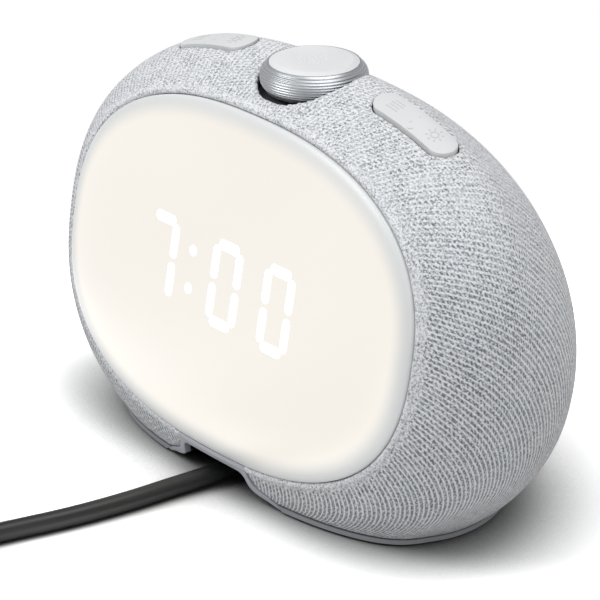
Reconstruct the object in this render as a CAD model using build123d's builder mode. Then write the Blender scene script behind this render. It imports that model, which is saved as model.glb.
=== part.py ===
from build123d import *
import math
import os

os.makedirs("parts", exist_ok=True)

# Sunrise alarm clock. Millimetres, +Z up, -Y is the lit front face.
# The origin is on the floor, below the middle of the clock's box.

# ---------------------------------------------------------------- driving sizes
FACE_WIDTH = 160.0          # lit diffuser, corner to corner across
FACE_HEIGHT = 103.6
FACE_ROUND = 2.45           # superellipse exponent of the face outline
FACE_TILT = 10.1            # degrees that the face leans back
FACE_CENTRE_Z = 63.6

GIRTH_WIDTH = 199.4         # widest section of the body
GIRTH_TOP = 72.5            # body above the section centre at its girth
GIRTH_BOTTOM = 70.0         # and below it, before the base cuts it off
GIRTH_DEPTH = 24.3          # girth section behind the face
BACK_DEPTH = 95.0           # where the back would close to a point
REAR_DEPTH = 90.0           # where the rear port panel cuts it off
CENTRE_DROP = 0.187         # section centres fall this much per mm of depth
SIDE_SWELL = 2.24           # exponents of the profiles from rim to girth
TOP_SWELL = 1.37
BOTTOM_SWELL = 2.08
BACK_SWELL = 2.0            # and from girth to back
TOP_ROUND = 2.5             # section exponents at the girth
BOTTOM_ROUND = 2.19
BACK_ROUND = 1.9            # section exponent at the back

FABRIC = 1.5                # knitted sleeve and its thin foam
FABRIC_GAP = 0.2            # sleeve to chassis
SHELL = 2.4                 # chassis wall
LENS_GAP = 0.3              # diffuser to sleeve edge
FABRIC_LIP = 1.2            # sleeve edge round the diffuser

LENS_WALL = 2.0
LENS_BACK = 0.9             # back rim of the diffuser behind the face plane
LENS_EDGE = 0.6             # straight edge ahead of the face plane
LENS_RISE = 4.0             # crown of the diffuser ahead of the face plane
CROWN_RUN = 0.62            # share of the half height over which it rises

LIGHT_MARGIN = 8.0          # diffuser edge to the light opening
TRAY_DEPTH = 9.0
TRAY_WALL = 1.3
TRAY_FLOOR = 1.5
BOARD = 1.6                 # every circuit board

DIGIT_HEIGHT = 27.0
DIGIT_WIDTH = 14.0
DIGIT_STROKE = 3.2
DIGIT_GAP = 5.0

SPLIT_DEPTH = 44.0          # joint between front and rear shell
FOOT_HEIGHT = 1.0
BASE_BAND = 1.4             # visible edge of the base plate
BASE_THICK = 3.0
FLANGE = 2.5                # inward foot of each shell
FLANGE_REACH = 7.0

ARCH_HALF_WIDTH = 15.3      # cable arch, inside, at its top
ARCH_FLARE = 16.0           # how much wider each side is at the floor
ARCH_HEIGHT = 9.9
ARCH_CORNER = 3.0
ARCH_WAIST = 0.62           # share of its height at which the flare begins
ARCH_SWEEP = 0.45           # share of the flare that is reached halfway down it
ARCH_TRIM = 1.3             # trim width beside the arch
ARCH_TRIM_TOP = 4.4         # and above it, up under the diffuser
TRIM_PROUD = 0.5            # trim stands out of the fabric
CHANNEL_LENGTH = 49.0       # cable channel, from the face centre back
CHANNEL_WALL = 1.6
CHANNEL_END = 4.0           # end wall that holds the cable gland

CONTROL_SET_BACK = 30.3     # dial and pads behind the face centre
DIAL_RADIUS = 16.2
DIAL_CAP_RADIUS = 13.5
DIAL_TOP_Z = 127.25         # top edge of the dial ring
DIAL_HEIGHT = 8.4
DIAL_GAP = 1.4              # ring to well floor, more than its press
CAP_RISE = 0.7
WELL_GAP = 0.4              # ring to well wall
WELL_WALL = 1.4
WELL_FLOOR = 2.0

PAD_X = 45.8
PAD_LENGTH = 32.4
PAD_WIDTH = 9.4
PAD_PROUD = 0.4
PAD_THICK = 2.2
PAD_GAP = 0.35
ROCKER_FRAME_WALL = 1.2
PIN_RADIUS = 1.0
PIN_FIT = 0.05
STEM_SPREAD = 11.0
STEM_RADIUS = 1.6
SWITCH_GAP = 0.4            # stem to push switch, more than the rocker's swing

CONTROL_BOARD_Z = 109.9     # underside
ENCODER_SIZE = 12.0
SHAFT_RADIUS = 3.0
SHAFT_FIT = 0.05            # round the shaft, in its bush and in the cap
BUSH_RADIUS = 3.5
NUT_RADIUS = 5.5
NUT_HEIGHT = 1.8
SWITCH_SIZE = 6.0
SWITCH_HEIGHT = 3.5

MAIN_BOARD_DEPTH = 18.0
MAIN_BOARD_WIDTH = 84.0
MAIN_BOARD_HEIGHT = 50.0
CELL_RADIUS = 10.0
CELL_THICK = 3.2

SPEAKER_RADIUS = 22.0
SPEAKER_TILT = 39.0         # degrees that its axis points above the back
SPEAKER_SET_BACK = 63.5     # middle of its flange behind the face centre
SPEAKER_Z = 91.5
SPEAKER_BOX_WIDTH = 54.0
BOX_WALL = 2.0

POWER_BOARD = 32.0
POWER_BOARD_X = -36.0
POWER_BOARD_SET_BACK = 31.0
STANDOFF = 4.0
BALLAST_SIZE = 29.0
BALLAST_SET_BACK = 30.0
BALLAST_THICK = 5.0

PORT_MARGIN = 3.0           # rear panel edge to the rear outline
PORT_PANEL = 1.6
USB_A = (14.5, 7.0)
USB_C = (9.2, 3.4)
USB_X = 13.0
USB_DEPTH = 13.0

CORD_RADIUS = 3.0
GLAND_RADIUS = 3.5
CORD_Z = 3.05               # cord lying on the floor
GLAND_Z = 5.2
RELIEF_LENGTH = 24.0
COIL_X, COIL_Y = -50.0, -152.0
COIL_RADIUS = 33.0          # middle of its turns
COIL_WIDTH = 18.6           # three turns side by side
COIL_HEIGHT = 12.4          # two turns deep
COIL_LIFT = 0.6             # the tie passes under it
TIE = 0.5
PLUG_LENGTH = 36.0
PLUG_WIDTH = 26.0
PLUG_HEIGHT = 13.6
PLUG_TAPER = 12.0           # from its shoulders to the lead
PLUG_PIN_RADIUS = 2.0
PLUG_PIN_LENGTH = 19.0
PLUG_PIN_SPREAD = 18.6
PLUG_ROOT_RADIUS = 1.5      # turned-down root of each pin, moulded in
PLUG_ROOT = 6.0

FIT = 0.1                   # between pieces that are assembled and stay
SCREW_RADIUS = 1.3
SCREW_HEAD = 2.6

# ---------------------------------------------------------------- worked out
SIN_TILT = math.sin(math.radians(FACE_TILT))
COS_TILT = math.cos(math.radians(FACE_TILT))
CHASSIS = FABRIC + FABRIC_GAP
INSIDE = CHASSIS + SHELL
RIM_WIDEN = LENS_GAP + FABRIC_LIP
TOP_OF_BASE = FOOT_HEIGHT + BASE_THICK
OUTLINE_POINTS = 32


def swell(depth, girth, rim, exponent):
    """Half size of the body at a depth, from the face rim over the girth to the back."""
    if depth <= GIRTH_DEPTH:
        reach = GIRTH_DEPTH / (1 - (rim / girth) ** exponent) ** (1 / exponent)
        return girth * (1 - ((GIRTH_DEPTH - depth) / reach) ** exponent) ** (1 / exponent)
    run = (depth - GIRTH_DEPTH) / (BACK_DEPTH - GIRTH_DEPTH)
    return girth * (1 - run ** BACK_SWELL) ** (1 / BACK_SWELL)


def swell_inset(depth, inset, girth, rim, exponent):
    """The same half size for a skin that lies a wall's thickness inside or outside."""
    reach = abs(inset)
    sizes = []
    for step in range(-12, 13):
        shift = reach * step / 12
        place = depth + shift
        if 0 <= place <= REAR_DEPTH:
            rise = math.sqrt(max(reach ** 2 - shift ** 2, 0))
            size = swell(place, girth, rim, exponent)
            sizes.append(size - rise if inset > 0 else size + rise)
    return min(sizes) if inset > 0 else max(sizes)


def superellipse(half_width, above, below, round_above, round_below, centre):
    """Points of a closed outline, rounder or squarer above and below its centre."""
    points = []
    for step in range(OUTLINE_POINTS):
        angle = 2 * math.pi * step / OUTLINE_POINTS
        c, s = math.cos(angle), math.sin(angle)
        exponent = round_above if s > 0 else round_below
        height = above if s > 0 else below
        x = half_width * math.copysign(abs(c) ** (2 / exponent), c)
        y = centre + height * math.copysign(abs(s) ** (2 / exponent), s)
        points.append((x, y))
    return points


def section_round(depth, at_girth):
    """Section exponent at a depth."""
    if depth <= GIRTH_DEPTH:
        return FACE_ROUND + (at_girth - FACE_ROUND) * max(depth, 0) / GIRTH_DEPTH
    run = (depth - GIRTH_DEPTH) / (BACK_DEPTH - GIRTH_DEPTH)
    return at_girth + (BACK_ROUND - at_girth) * min(run, 1)


def body_outline(depth, inset):
    """Outline of the body's skin at a depth behind the face."""
    half_width = swell_inset(depth, inset, GIRTH_WIDTH / 2, FACE_WIDTH / 2 + RIM_WIDEN, SIDE_SWELL)
    above = swell_inset(depth, inset, GIRTH_TOP, FACE_HEIGHT / 2 + RIM_WIDEN, TOP_SWELL)
    below = swell_inset(depth, inset, GIRTH_BOTTOM, FACE_HEIGHT / 2 + RIM_WIDEN, BOTTOM_SWELL)
    return superellipse(
        half_width, above, below,
        section_round(depth, TOP_ROUND), section_round(depth, BOTTOM_ROUND), -CENTRE_DROP * depth,
    )


def lens_rise(inset):
    """How far the diffuser stands ahead of the face plane, an inset in from its edge."""
    run = min(inset / (CROWN_RUN * FACE_HEIGHT / 2), 1)
    return LENS_EDGE + (LENS_RISE - LENS_EDGE) * (1 - (1 - run) ** 3) ** (1 / 1.7)


LENS_STEPS = (0.0, 0.5, 1.6, 4.0, 9.0, 17.0, 32.0)
FRONT_REACH = max(
    (FACE_HEIGHT / 2 - inset) * SIN_TILT + lens_rise(inset) * COS_TILT for inset in LENS_STEPS
)
REAR_TOP = swell(REAR_DEPTH, GIRTH_TOP, FACE_HEIGHT / 2, TOP_SWELL) - CENTRE_DROP * REAR_DEPTH
REAR_REACH = REAR_TOP * SIN_TILT + REAR_DEPTH * COS_TILT
FACE_Y = (FRONT_REACH - REAR_REACH) / 2     # face centre, so that the clock is centred on Y

FACE = Plane(origin=(0, FACE_Y, FACE_CENTRE_Z), x_dir=(1, 0, 0), z_dir=(0, -COS_TILT, SIN_TILT))
CONTROL_Y = FACE_Y + CONTROL_SET_BACK


def behind(depth):
    """Plane parallel to the face, a depth behind it, looking out of the face."""
    return FACE.offset(-depth)


STATIONS = (0, 0.045, 0.1, 0.16, 0.215, 0.27, 0.34, 0.45, 0.58, 0.71, 0.83, 0.92, 1)


def body(inset):
    """Solid inside the skin that lies an inset within the fabric's outside."""
    first, last = inset, REAR_DEPTH - inset
    with BuildPart() as solid:
        for share in STATIONS:
            depth = first + share * (last - first)
            with BuildSketch(behind(depth)):
                with BuildLine():
                    Spline(*body_outline(depth, inset), periodic=True)
                make_face()
        loft()
    return solid.part


def face_prism(width_inset, first_depth, last_depth):
    """Prism of the face outline, made smaller all round, between two depths."""
    outline = superellipse(
        FACE_WIDTH / 2 - width_inset, FACE_HEIGHT / 2 - width_inset, FACE_HEIGHT / 2 - width_inset,
        FACE_ROUND, FACE_ROUND, 0,
    )
    with BuildPart() as solid:
        with BuildSketch(behind(last_depth)):
            with BuildLine():
                Spline(*outline, periodic=True)
            make_face()
        extrude(amount=last_depth - first_depth)
    return solid.part


def rear_prism(inset, first_depth, last_depth):
    """Prism of the rear outline, made smaller all round, between two depths."""
    rear = REAR_DEPTH
    outline = superellipse(
        swell(rear, GIRTH_WIDTH / 2, FACE_WIDTH / 2, SIDE_SWELL) - inset,
        swell(rear, GIRTH_TOP, FACE_HEIGHT / 2, TOP_SWELL) - inset,
        swell(rear, GIRTH_BOTTOM, FACE_HEIGHT / 2, BOTTOM_SWELL) - inset,
        section_round(rear, TOP_ROUND), section_round(rear, BOTTOM_ROUND), -CENTRE_DROP * rear,
    )
    with BuildPart() as solid:
        with BuildSketch(behind(last_depth)):
            with BuildLine():
                Spline(*outline, periodic=True)
            make_face()
        extrude(amount=last_depth - first_depth)
    return solid.part


def slab(bottom, top, size=300.0):
    """Wide flat block between two heights."""
    with BuildPart() as solid:
        with BuildSketch(Plane.XY.offset(bottom)):
            Rectangle(size, size)
        extrude(amount=top - bottom)
    return solid.part


def depth_block(first_depth, last_depth, size=300.0):
    """Wide block parallel to the face, between two depths."""
    with BuildPart() as solid:
        with BuildSketch(behind(last_depth)):
            Rectangle(size, size)
        extrude(amount=last_depth - first_depth)
    return solid.part


def disc(x, y, bottom, top, radius):
    """Upright cylinder between two heights."""
    with BuildPart() as solid:
        with BuildSketch(Plane((x, y, bottom))):
            Circle(radius)
        extrude(amount=top - bottom)
    return solid.part


def pad_prism(x, grow, bottom, top):
    """Upright prism of a button pad's outline, grown all round."""
    with BuildPart() as solid:
        with BuildSketch(Plane((x, CONTROL_Y, bottom))):
            SlotOverall(PAD_LENGTH + 2 * grow, PAD_WIDTH + 2 * grow)
        extrude(amount=top - bottom)
    return solid.part


def arch_prism(grow, rise, back):
    """Cable arch: flared sides, round top corners, from ahead of the face to a depth in Y."""
    half_top = ARCH_HALF_WIDTH + grow
    half_foot = half_top + ARCH_FLARE
    top = ARCH_HEIGHT + rise
    waist = top * ARCH_WAIST
    front = FACE_Y - 2 * FRONT_REACH
    with BuildPart() as solid:
        with BuildSketch(Plane.XZ.offset(-back)) as outline:
            with BuildLine():
                for side in (-1, 1):
                    Spline(
                        (side * half_foot, -1), (side * (half_top + ARCH_FLARE * ARCH_SWEEP), waist * 0.4),
                        (side * half_top, waist), tangents=((-4 * side, 1), (-side, top - waist)),
                    )
                    Line((side * half_top, waist), (side * (half_top - 1), top))
                Line((1 - half_top, top), (half_top - 1, top))
                Line((-half_foot, -1), (half_foot, -1))
            make_face()
            fillet(outline.vertices().group_by(Axis.Y)[-1], ARCH_CORNER)
        extrude(amount=back - front)
    return solid.part


def write(part, name):
    """Label a finished piece and write its file."""
    part.label = name
    export_step(part, f"parts/{name}.step")


FABRIC_SKIN = body(0)
FABRIC_LINING = body(FABRIC)
CHASSIS_SKIN = body(CHASSIS)
CHASSIS_LINING = body(INSIDE)
FRAME_SKIN = body(CHASSIS - FIT / 2)
WELL_TOP = DIAL_TOP_Z - DIAL_HEIGHT - DIAL_GAP
ARCH_BACK = FACE_Y + CHANNEL_LENGTH
ABOVE = DIAL_TOP_Z + 20

# ---------------------------------------------------------------- outer skin
with BuildPart() as fabric_sleeve:
    add(FABRIC_SKIN)
    add(FABRIC_LINING, mode=Mode.SUBTRACT)
    add(face_prism(-LENS_GAP, -1, FABRIC + 1), mode=Mode.SUBTRACT)
    add(rear_prism(PORT_MARGIN, REAR_DEPTH - FABRIC - 1, REAR_DEPTH + 1), mode=Mode.SUBTRACT)
    add(slab(-80, FOOT_HEIGHT + BASE_BAND + FIT), mode=Mode.SUBTRACT)
    add(arch_prism(ARCH_TRIM + FIT, ARCH_TRIM_TOP, ARCH_BACK - 20), mode=Mode.SUBTRACT)
    add(disc(0, CONTROL_Y, CONTROL_BOARD_Z - 20, ABOVE, DIAL_RADIUS + WELL_GAP), mode=Mode.SUBTRACT)
    for side in (-1, 1):
        add(pad_prism(side * PAD_X, PAD_GAP, CONTROL_BOARD_Z - 20, ABOVE), mode=Mode.SUBTRACT)
write(fabric_sleeve.part, "fabric_sleeve")

# ---------------------------------------------------------------- chassis shells
SHELL_OPENING = DIAL_RADIUS + WELL_GAP + WELL_WALL + FIT
FRAME_GROW = PAD_GAP + ROCKER_FRAME_WALL
POST_RADIUS = 3.0
POST_X = (SHELL_OPENING + PAD_X - PAD_LENGTH / 2 - FRAME_GROW) / 2


def flange(first_depth, last_depth):
    """Inward foot round the bottom of a shell, where it stands on the base plate."""
    with BuildPart() as solid:
        add(body(CHASSIS + SHELL / 2))
        add(body(CHASSIS + FLANGE_REACH), mode=Mode.SUBTRACT)
        add(slab(TOP_OF_BASE, TOP_OF_BASE + FLANGE), mode=Mode.INTERSECT)
        add(depth_block(first_depth, last_depth), mode=Mode.INTERSECT)
    return solid.part


def speaker_plane(ahead):
    """Plane across the speaker's axis, a distance ahead of its flange."""
    tilt = math.radians(SPEAKER_TILT)
    axis = Vector(0, math.cos(tilt), math.sin(tilt))
    origin = Vector(0, FACE_Y + SPEAKER_SET_BACK, SPEAKER_Z) + axis * ahead
    return Plane(origin=origin, x_dir=(1, 0, 0), z_dir=axis)


def speaker_disc(first, last, radius):
    """Cylinder along the speaker's axis."""
    with BuildPart() as solid:
        with BuildSketch(speaker_plane(first)):
            Circle(radius)
        extrude(amount=last - first)
    return solid.part


def control_post(x):
    """Post from the top of the front shell down to the control board."""
    with BuildPart() as solid:
        add(disc(x, CONTROL_Y, CONTROL_BOARD_Z + BOARD, ABOVE, POST_RADIUS))
        add(body(CHASSIS + SHELL / 2), mode=Mode.INTERSECT)
        add(disc(x, CONTROL_Y, CONTROL_BOARD_Z, CONTROL_BOARD_Z + BOARD + 6, SCREW_RADIUS),
            mode=Mode.SUBTRACT)
    return solid.part


def skin_edge(x, z, from_front):
    """Y where the underside of the body reaches a height, in front or at the back."""
    steps = range(0, 901)
    for step in (steps if from_front else reversed(steps)):
        depth = REAR_DEPTH * step / 900
        below = swell(depth, GIRTH_BOTTOM, FACE_HEIGHT / 2 + RIM_WIDEN, BOTTOM_SWELL)
        wide = swell(depth, GIRTH_WIDTH / 2, FACE_WIDTH / 2 + RIM_WIDEN, SIDE_SWELL)
        exponent = section_round(depth, BOTTOM_ROUND)
        if abs(x) < wide:
            y = -below * (1 - (abs(x) / wide) ** exponent) ** (1 / exponent) - CENTRE_DROP * depth
            if FACE_CENTRE_Z + y * COS_TILT - depth * SIN_TILT <= z:
                return FACE_Y + y * SIN_TILT + depth * COS_TILT


FLANGE_MIDDLE = CHASSIS + FLANGE_REACH * 0.7
BASE_SCREWS = [
    (side * x, skin_edge(x, TOP_OF_BASE, front) + (FLANGE_MIDDLE if front else -FLANGE_MIDDLE))
    for side in (-1, 1)
    for x, front in ((44.0, True), (36.0, False))
]

with BuildPart() as front_shell:
    add(CHASSIS_SKIN)
    add(CHASSIS_LINING, mode=Mode.SUBTRACT)
    add(depth_block(0, SPLIT_DEPTH), mode=Mode.INTERSECT)
    add(slab(-80, TOP_OF_BASE), mode=Mode.SUBTRACT)
    add(flange(0, SPLIT_DEPTH))
    add(face_prism(LIGHT_MARGIN, 0, INSIDE + 1), mode=Mode.SUBTRACT)
    add(arch_prism(ARCH_TRIM + CHANNEL_WALL + FIT, CHANNEL_WALL + FIT, ARCH_BACK + 5), mode=Mode.SUBTRACT)
    add(disc(0, CONTROL_Y, CONTROL_BOARD_Z - 2, ABOVE, SHELL_OPENING), mode=Mode.SUBTRACT)
    for side in (-1, 1):
        add(pad_prism(side * PAD_X, FRAME_GROW + FIT, CONTROL_BOARD_Z - 2, ABOVE), mode=Mode.SUBTRACT)
        add(control_post(side * POST_X))
    for x, y in BASE_SCREWS:
        add(disc(x, y, 0, TOP_OF_BASE + FLANGE - 0.8, SCREW_RADIUS), mode=Mode.SUBTRACT)
write(front_shell.part, "front_shell")

with BuildPart() as rear_shell:
    add(CHASSIS_SKIN)
    add(CHASSIS_LINING, mode=Mode.SUBTRACT)
    add(depth_block(SPLIT_DEPTH, REAR_DEPTH), mode=Mode.INTERSECT)
    add(slab(-80, TOP_OF_BASE), mode=Mode.SUBTRACT)
    add(flange(SPLIT_DEPTH, REAR_DEPTH))
    add(speaker_disc(0, 40, SPEAKER_RADIUS - 2), mode=Mode.SUBTRACT)
    for x, y in BASE_SCREWS:
        add(disc(x, y, 0, TOP_OF_BASE + FLANGE - 0.8, SCREW_RADIUS), mode=Mode.SUBTRACT)
    for side in (-1, 1):
        with BuildSketch(behind(REAR_DEPTH)):
            with Locations((side * USB_X, -CENTRE_DROP * REAR_DEPTH)):
                Rectangle(USB_A[0] + 2, USB_A[1] + 2)
        extrude(amount=2 * INSIDE, mode=Mode.SUBTRACT)
write(rear_shell.part, "rear_shell")

# ---------------------------------------------------------------- lit face


def lens_solid(wall):
    """Crowned diffuser, whole for a wall of 0, or its hollow for its wall."""
    steps = [(0.0, -LENS_BACK - (1 if wall else 0))] + [(step, lens_rise(step)) for step in LENS_STEPS]
    with BuildPart() as solid:
        for inset, rise in steps:
            half_width = FACE_WIDTH / 2 - inset - wall
            half_height = FACE_HEIGHT / 2 - inset - wall
            lowered = rise - (wall if rise > 0 else 0)
            with BuildSketch(behind(-lowered)):
                with BuildLine():
                    Spline(*superellipse(half_width, half_height, half_height, FACE_ROUND, FACE_ROUND, 0),
                           periodic=True)
                make_face()
        loft(ruled=True)
    return solid.part


with BuildPart() as diffuser_lens:
    add(lens_solid(0))
    add(lens_solid(LENS_WALL), mode=Mode.SUBTRACT)
write(diffuser_lens.part, "diffuser_lens")

with BuildPart() as light_seal:
    add(face_prism(0.4, LENS_BACK, CHASSIS))
    add(face_prism(LENS_WALL + 1, LENS_BACK - 1, CHASSIS + 1), mode=Mode.SUBTRACT)
write(light_seal.part, "light_seal")

TRAY_FRONT = INSIDE
TRAY_BACK = TRAY_FRONT + TRAY_DEPTH
BOARD_POSTS = [(x, y) for x in (-1, 1) for y in (-1, 1)]
POST_AT_X = MAIN_BOARD_WIDTH / 2 - 4
POST_AT_Y = MAIN_BOARD_HEIGHT / 2 - 4
MAIN_BOARD_Y = -6.0

with BuildPart() as light_tray:
    add(face_prism(LIGHT_MARGIN - TRAY_WALL, TRAY_FRONT, TRAY_BACK + TRAY_FLOOR))
    add(face_prism(LIGHT_MARGIN, TRAY_FRONT - 1, TRAY_BACK), mode=Mode.SUBTRACT)
    with BuildSketch(behind(MAIN_BOARD_DEPTH)):
        for x, y in BOARD_POSTS:
            with Locations((x * POST_AT_X, MAIN_BOARD_Y + y * POST_AT_Y)):
                Circle(POST_RADIUS)
    extrude(amount=MAIN_BOARD_DEPTH - TRAY_BACK - TRAY_FLOOR / 2)
    with BuildSketch(behind(MAIN_BOARD_DEPTH)):
        for x, y in BOARD_POSTS:
            with Locations((x * POST_AT_X, MAIN_BOARD_Y + y * POST_AT_Y)):
                Circle(SCREW_RADIUS)
    extrude(amount=3, mode=Mode.SUBTRACT)
write(light_tray.part, "light_tray")

with BuildPart() as led_board:
    add(face_prism(LIGHT_MARGIN + FIT, TRAY_BACK - BOARD, TRAY_BACK))
write(led_board.part, "led_board")

LED_SIZE = 3.5
LED_HEIGHT = 1.4
LED_COUNT = 24
LED_MARGIN = 20.0
DISPLAY_WIDTH = 4 * DIGIT_WIDTH + 3 * DIGIT_GAP
DISPLAY_HEIGHT = DIGIT_HEIGHT + 6

with BuildPart() as leds:
    half_width = FACE_WIDTH / 2 - LED_MARGIN
    half_height = FACE_HEIGHT / 2 - LED_MARGIN
    with BuildSketch(behind(TRAY_BACK - BOARD)):
        for step in range(LED_COUNT):
            angle = 2 * math.pi * (step + 0.5) / LED_COUNT
            c, s = math.cos(angle), math.sin(angle)
            x = half_width * math.copysign(abs(c) ** (2 / FACE_ROUND), c)
            y = half_height * math.copysign(abs(s) ** (2 / FACE_ROUND), s)
            with Locations((x, y)):
                Rectangle(LED_SIZE, LED_SIZE)
    extrude(amount=LED_HEIGHT)
write(leds.part, "leds")

# Digit bars: a, b, c, d, e, f, g as (x, y, upright) in half digit sizes.
BARS = {
    "a": (0, 1, False), "b": (1, 0.5, True), "c": (1, -0.5, True), "d": (0, -1, False),
    "e": (-1, -0.5, True), "f": (-1, 0.5, True), "g": (0, 0, False),
}
SHOWN = ((-1.62, "abc"), (0.0, "abcdef"), (1.28, "abcdef"))
COLON_AT = -0.86
BAR_DEPTH = 1.0
DISPLAY_FRONT = -0.6        # face of the display block, ahead of the face plane


def digit_bars(first_depth, thick, grow):
    """The bars and the two dots of the time shown, in digit pitches from the middle."""
    pitch = DIGIT_WIDTH + DIGIT_GAP
    half_x = (DIGIT_WIDTH - DIGIT_STROKE) / 2
    half_y = (DIGIT_HEIGHT - DIGIT_STROKE) / 2
    bar_across = DIGIT_WIDTH - DIGIT_STROKE - 1.4
    bar_upright = (DIGIT_HEIGHT - DIGIT_STROKE) / 2 - 1.4
    with BuildPart() as solid:
        with BuildSketch(behind(first_depth + thick)):
            for place, shown in SHOWN:
                for bar in shown:
                    x, y, upright = BARS[bar]
                    length = (bar_upright if upright else bar_across) + 2 * grow
                    with Locations((place * pitch + x * half_x, y * half_y)):
                        SlotOverall(length, DIGIT_STROKE + 2 * grow, rotation=90 if upright else 0)
            for dot in (-1, 1):
                with Locations((COLON_AT * pitch, dot * half_y / 2)):
                    Circle(DIGIT_STROKE / 2 + grow)
        extrude(amount=thick)
    return solid.part


with BuildPart() as display_block:
    with BuildSketch(behind(TRAY_BACK - BOARD)):
        RectangleRounded(DISPLAY_WIDTH, DISPLAY_HEIGHT, 4)
    extrude(amount=TRAY_BACK - BOARD - DISPLAY_FRONT)
    add(digit_bars(DISPLAY_FRONT - 1, BAR_DEPTH + 1, FIT), mode=Mode.SUBTRACT)
write(display_block.part, "display_block")

with BuildPart() as digit_bars_lit:
    add(digit_bars(DISPLAY_FRONT, BAR_DEPTH, 0))
write(digit_bars_lit.part, "digit_bars")

# ---------------------------------------------------------------- boards
with BuildPart() as main_board:
    with BuildSketch(behind(MAIN_BOARD_DEPTH + BOARD)):
        with Locations((0, MAIN_BOARD_Y)):
            RectangleRounded(MAIN_BOARD_WIDTH, MAIN_BOARD_HEIGHT, 2)
        for x, y in BOARD_POSTS:
            with Locations((x * POST_AT_X, MAIN_BOARD_Y + y * POST_AT_Y)):
                Circle(SCREW_RADIUS + FIT, mode=Mode.SUBTRACT)
    extrude(amount=BOARD)
write(main_board.part, "main_board")

# Components on the back of the main board: x, y, width, height, thickness.
CHIPS = (
    (-8, 6, 14, 14, 1.4), (14, 8, 9, 9, 1.2), (-26, 8, 10, 7, 2.0), (30, 12, 8, 12, 5.5),
    (-30, -12, 12, 6, 6.0), (32, -14, 7, 7, 1.2), (14, -22, 18, 5, 7.0), (18, -8, 5, 5, 3.0),
)
with BuildPart() as board_components:
    for x, y, width, height, thick in CHIPS:
        with BuildSketch(behind(MAIN_BOARD_DEPTH + BOARD + thick)):
            with Locations((x, MAIN_BOARD_Y + y + 4)):
                Rectangle(width, height)
        extrude(amount=thick)
write(board_components.part, "board_components")

CELL_PLACE = (-10, MAIN_BOARD_Y - 13)
HOLDER = 1.2
CELL_BACK = MAIN_BOARD_DEPTH + BOARD + HOLDER

with BuildPart() as cell_holder:
    with BuildSketch(behind(CELL_BACK + CELL_THICK)):
        with Locations(CELL_PLACE):
            Circle(CELL_RADIUS + FIT + HOLDER)
    extrude(amount=CELL_THICK + HOLDER)
    with BuildSketch(behind(CELL_BACK + CELL_THICK)):
        with Locations(CELL_PLACE):
            Circle(CELL_RADIUS + FIT)
    extrude(amount=CELL_THICK, mode=Mode.SUBTRACT)
write(cell_holder.part, "cell_holder")

with BuildPart() as backup_cell:
    with BuildSketch(behind(CELL_BACK + CELL_THICK)):
        with Locations(CELL_PLACE):
            Circle(CELL_RADIUS)
    extrude(amount=CELL_THICK)
    fillet(backup_cell.edges().filter_by(GeomType.CIRCLE), 0.4)
write(backup_cell.part, "backup_cell")

SCREW_SHANK = 4.0
with BuildPart() as board_screws:
    with BuildSketch(behind(MAIN_BOARD_DEPTH + BOARD)):
        for x, y in BOARD_POSTS:
            with Locations((x * POST_AT_X, MAIN_BOARD_Y + y * POST_AT_Y)):
                Circle(SCREW_RADIUS - FIT / 2)
    extrude(amount=SCREW_SHANK)
    with BuildSketch(behind(MAIN_BOARD_DEPTH + BOARD)):
        for x, y in BOARD_POSTS:
            with Locations((x * POST_AT_X, MAIN_BOARD_Y + y * POST_AT_Y)):
                Circle(SCREW_HEAD)
    extrude(amount=-1.6)
write(board_screws.part, "board_screws")

# ---------------------------------------------------------------- controls
BOARD_TOP = CONTROL_BOARD_Z + BOARD
WELL_RADIUS = DIAL_RADIUS + WELL_GAP + WELL_WALL
ENCODER_TOP = WELL_TOP - WELL_FLOOR
BUSH_TOP = WELL_TOP + NUT_HEIGHT + 0.4

with BuildPart() as control_board:
    with BuildSketch(Plane((0, CONTROL_Y, CONTROL_BOARD_Z))) as outline:
        Circle(WELL_RADIUS)
        SlotOverall(2 * (PAD_X + PAD_LENGTH / 2 - 1), PAD_WIDTH + 2)
        with Locations((POST_X, 0), (-POST_X, 0)):
            Circle(SCREW_RADIUS + FIT, mode=Mode.SUBTRACT)
    extrude(amount=BOARD)
write(control_board.part, "control_board")

with BuildPart() as dial_well:
    add(disc(0, CONTROL_Y, BOARD_TOP, ABOVE, WELL_RADIUS))
    add(CHASSIS_SKIN, mode=Mode.INTERSECT)
    add(disc(0, CONTROL_Y, BOARD_TOP, ENCODER_TOP, WELL_RADIUS - WELL_WALL), mode=Mode.SUBTRACT)
    add(disc(0, CONTROL_Y, WELL_TOP, ABOVE, WELL_RADIUS - WELL_WALL), mode=Mode.SUBTRACT)
    add(disc(0, CONTROL_Y, BOARD_TOP, WELL_TOP + 1, BUSH_RADIUS + FIT), mode=Mode.SUBTRACT)
write(dial_well.part, "dial_well")

with BuildPart() as encoder_body:
    with BuildSketch(Plane((0, CONTROL_Y, BOARD_TOP))):
        RectangleRounded(ENCODER_SIZE, ENCODER_SIZE, 0.8)
    extrude(amount=ENCODER_TOP - BOARD_TOP)
    add(disc(0, CONTROL_Y, BOARD_TOP, BUSH_TOP, BUSH_RADIUS))
    add(disc(0, CONTROL_Y, BOARD_TOP + 1, BUSH_TOP + 1, SHAFT_RADIUS + SHAFT_FIT), mode=Mode.SUBTRACT)
write(encoder_body.part, "encoder_body")

with BuildPart() as encoder_nut:
    with BuildSketch(Plane((0, CONTROL_Y, WELL_TOP))):
        RegularPolygon(NUT_RADIUS, 6)
        Circle(BUSH_RADIUS + SHAFT_FIT, mode=Mode.SUBTRACT)
    extrude(amount=NUT_HEIGHT)
write(encoder_nut.part, "encoder_nut")

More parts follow.
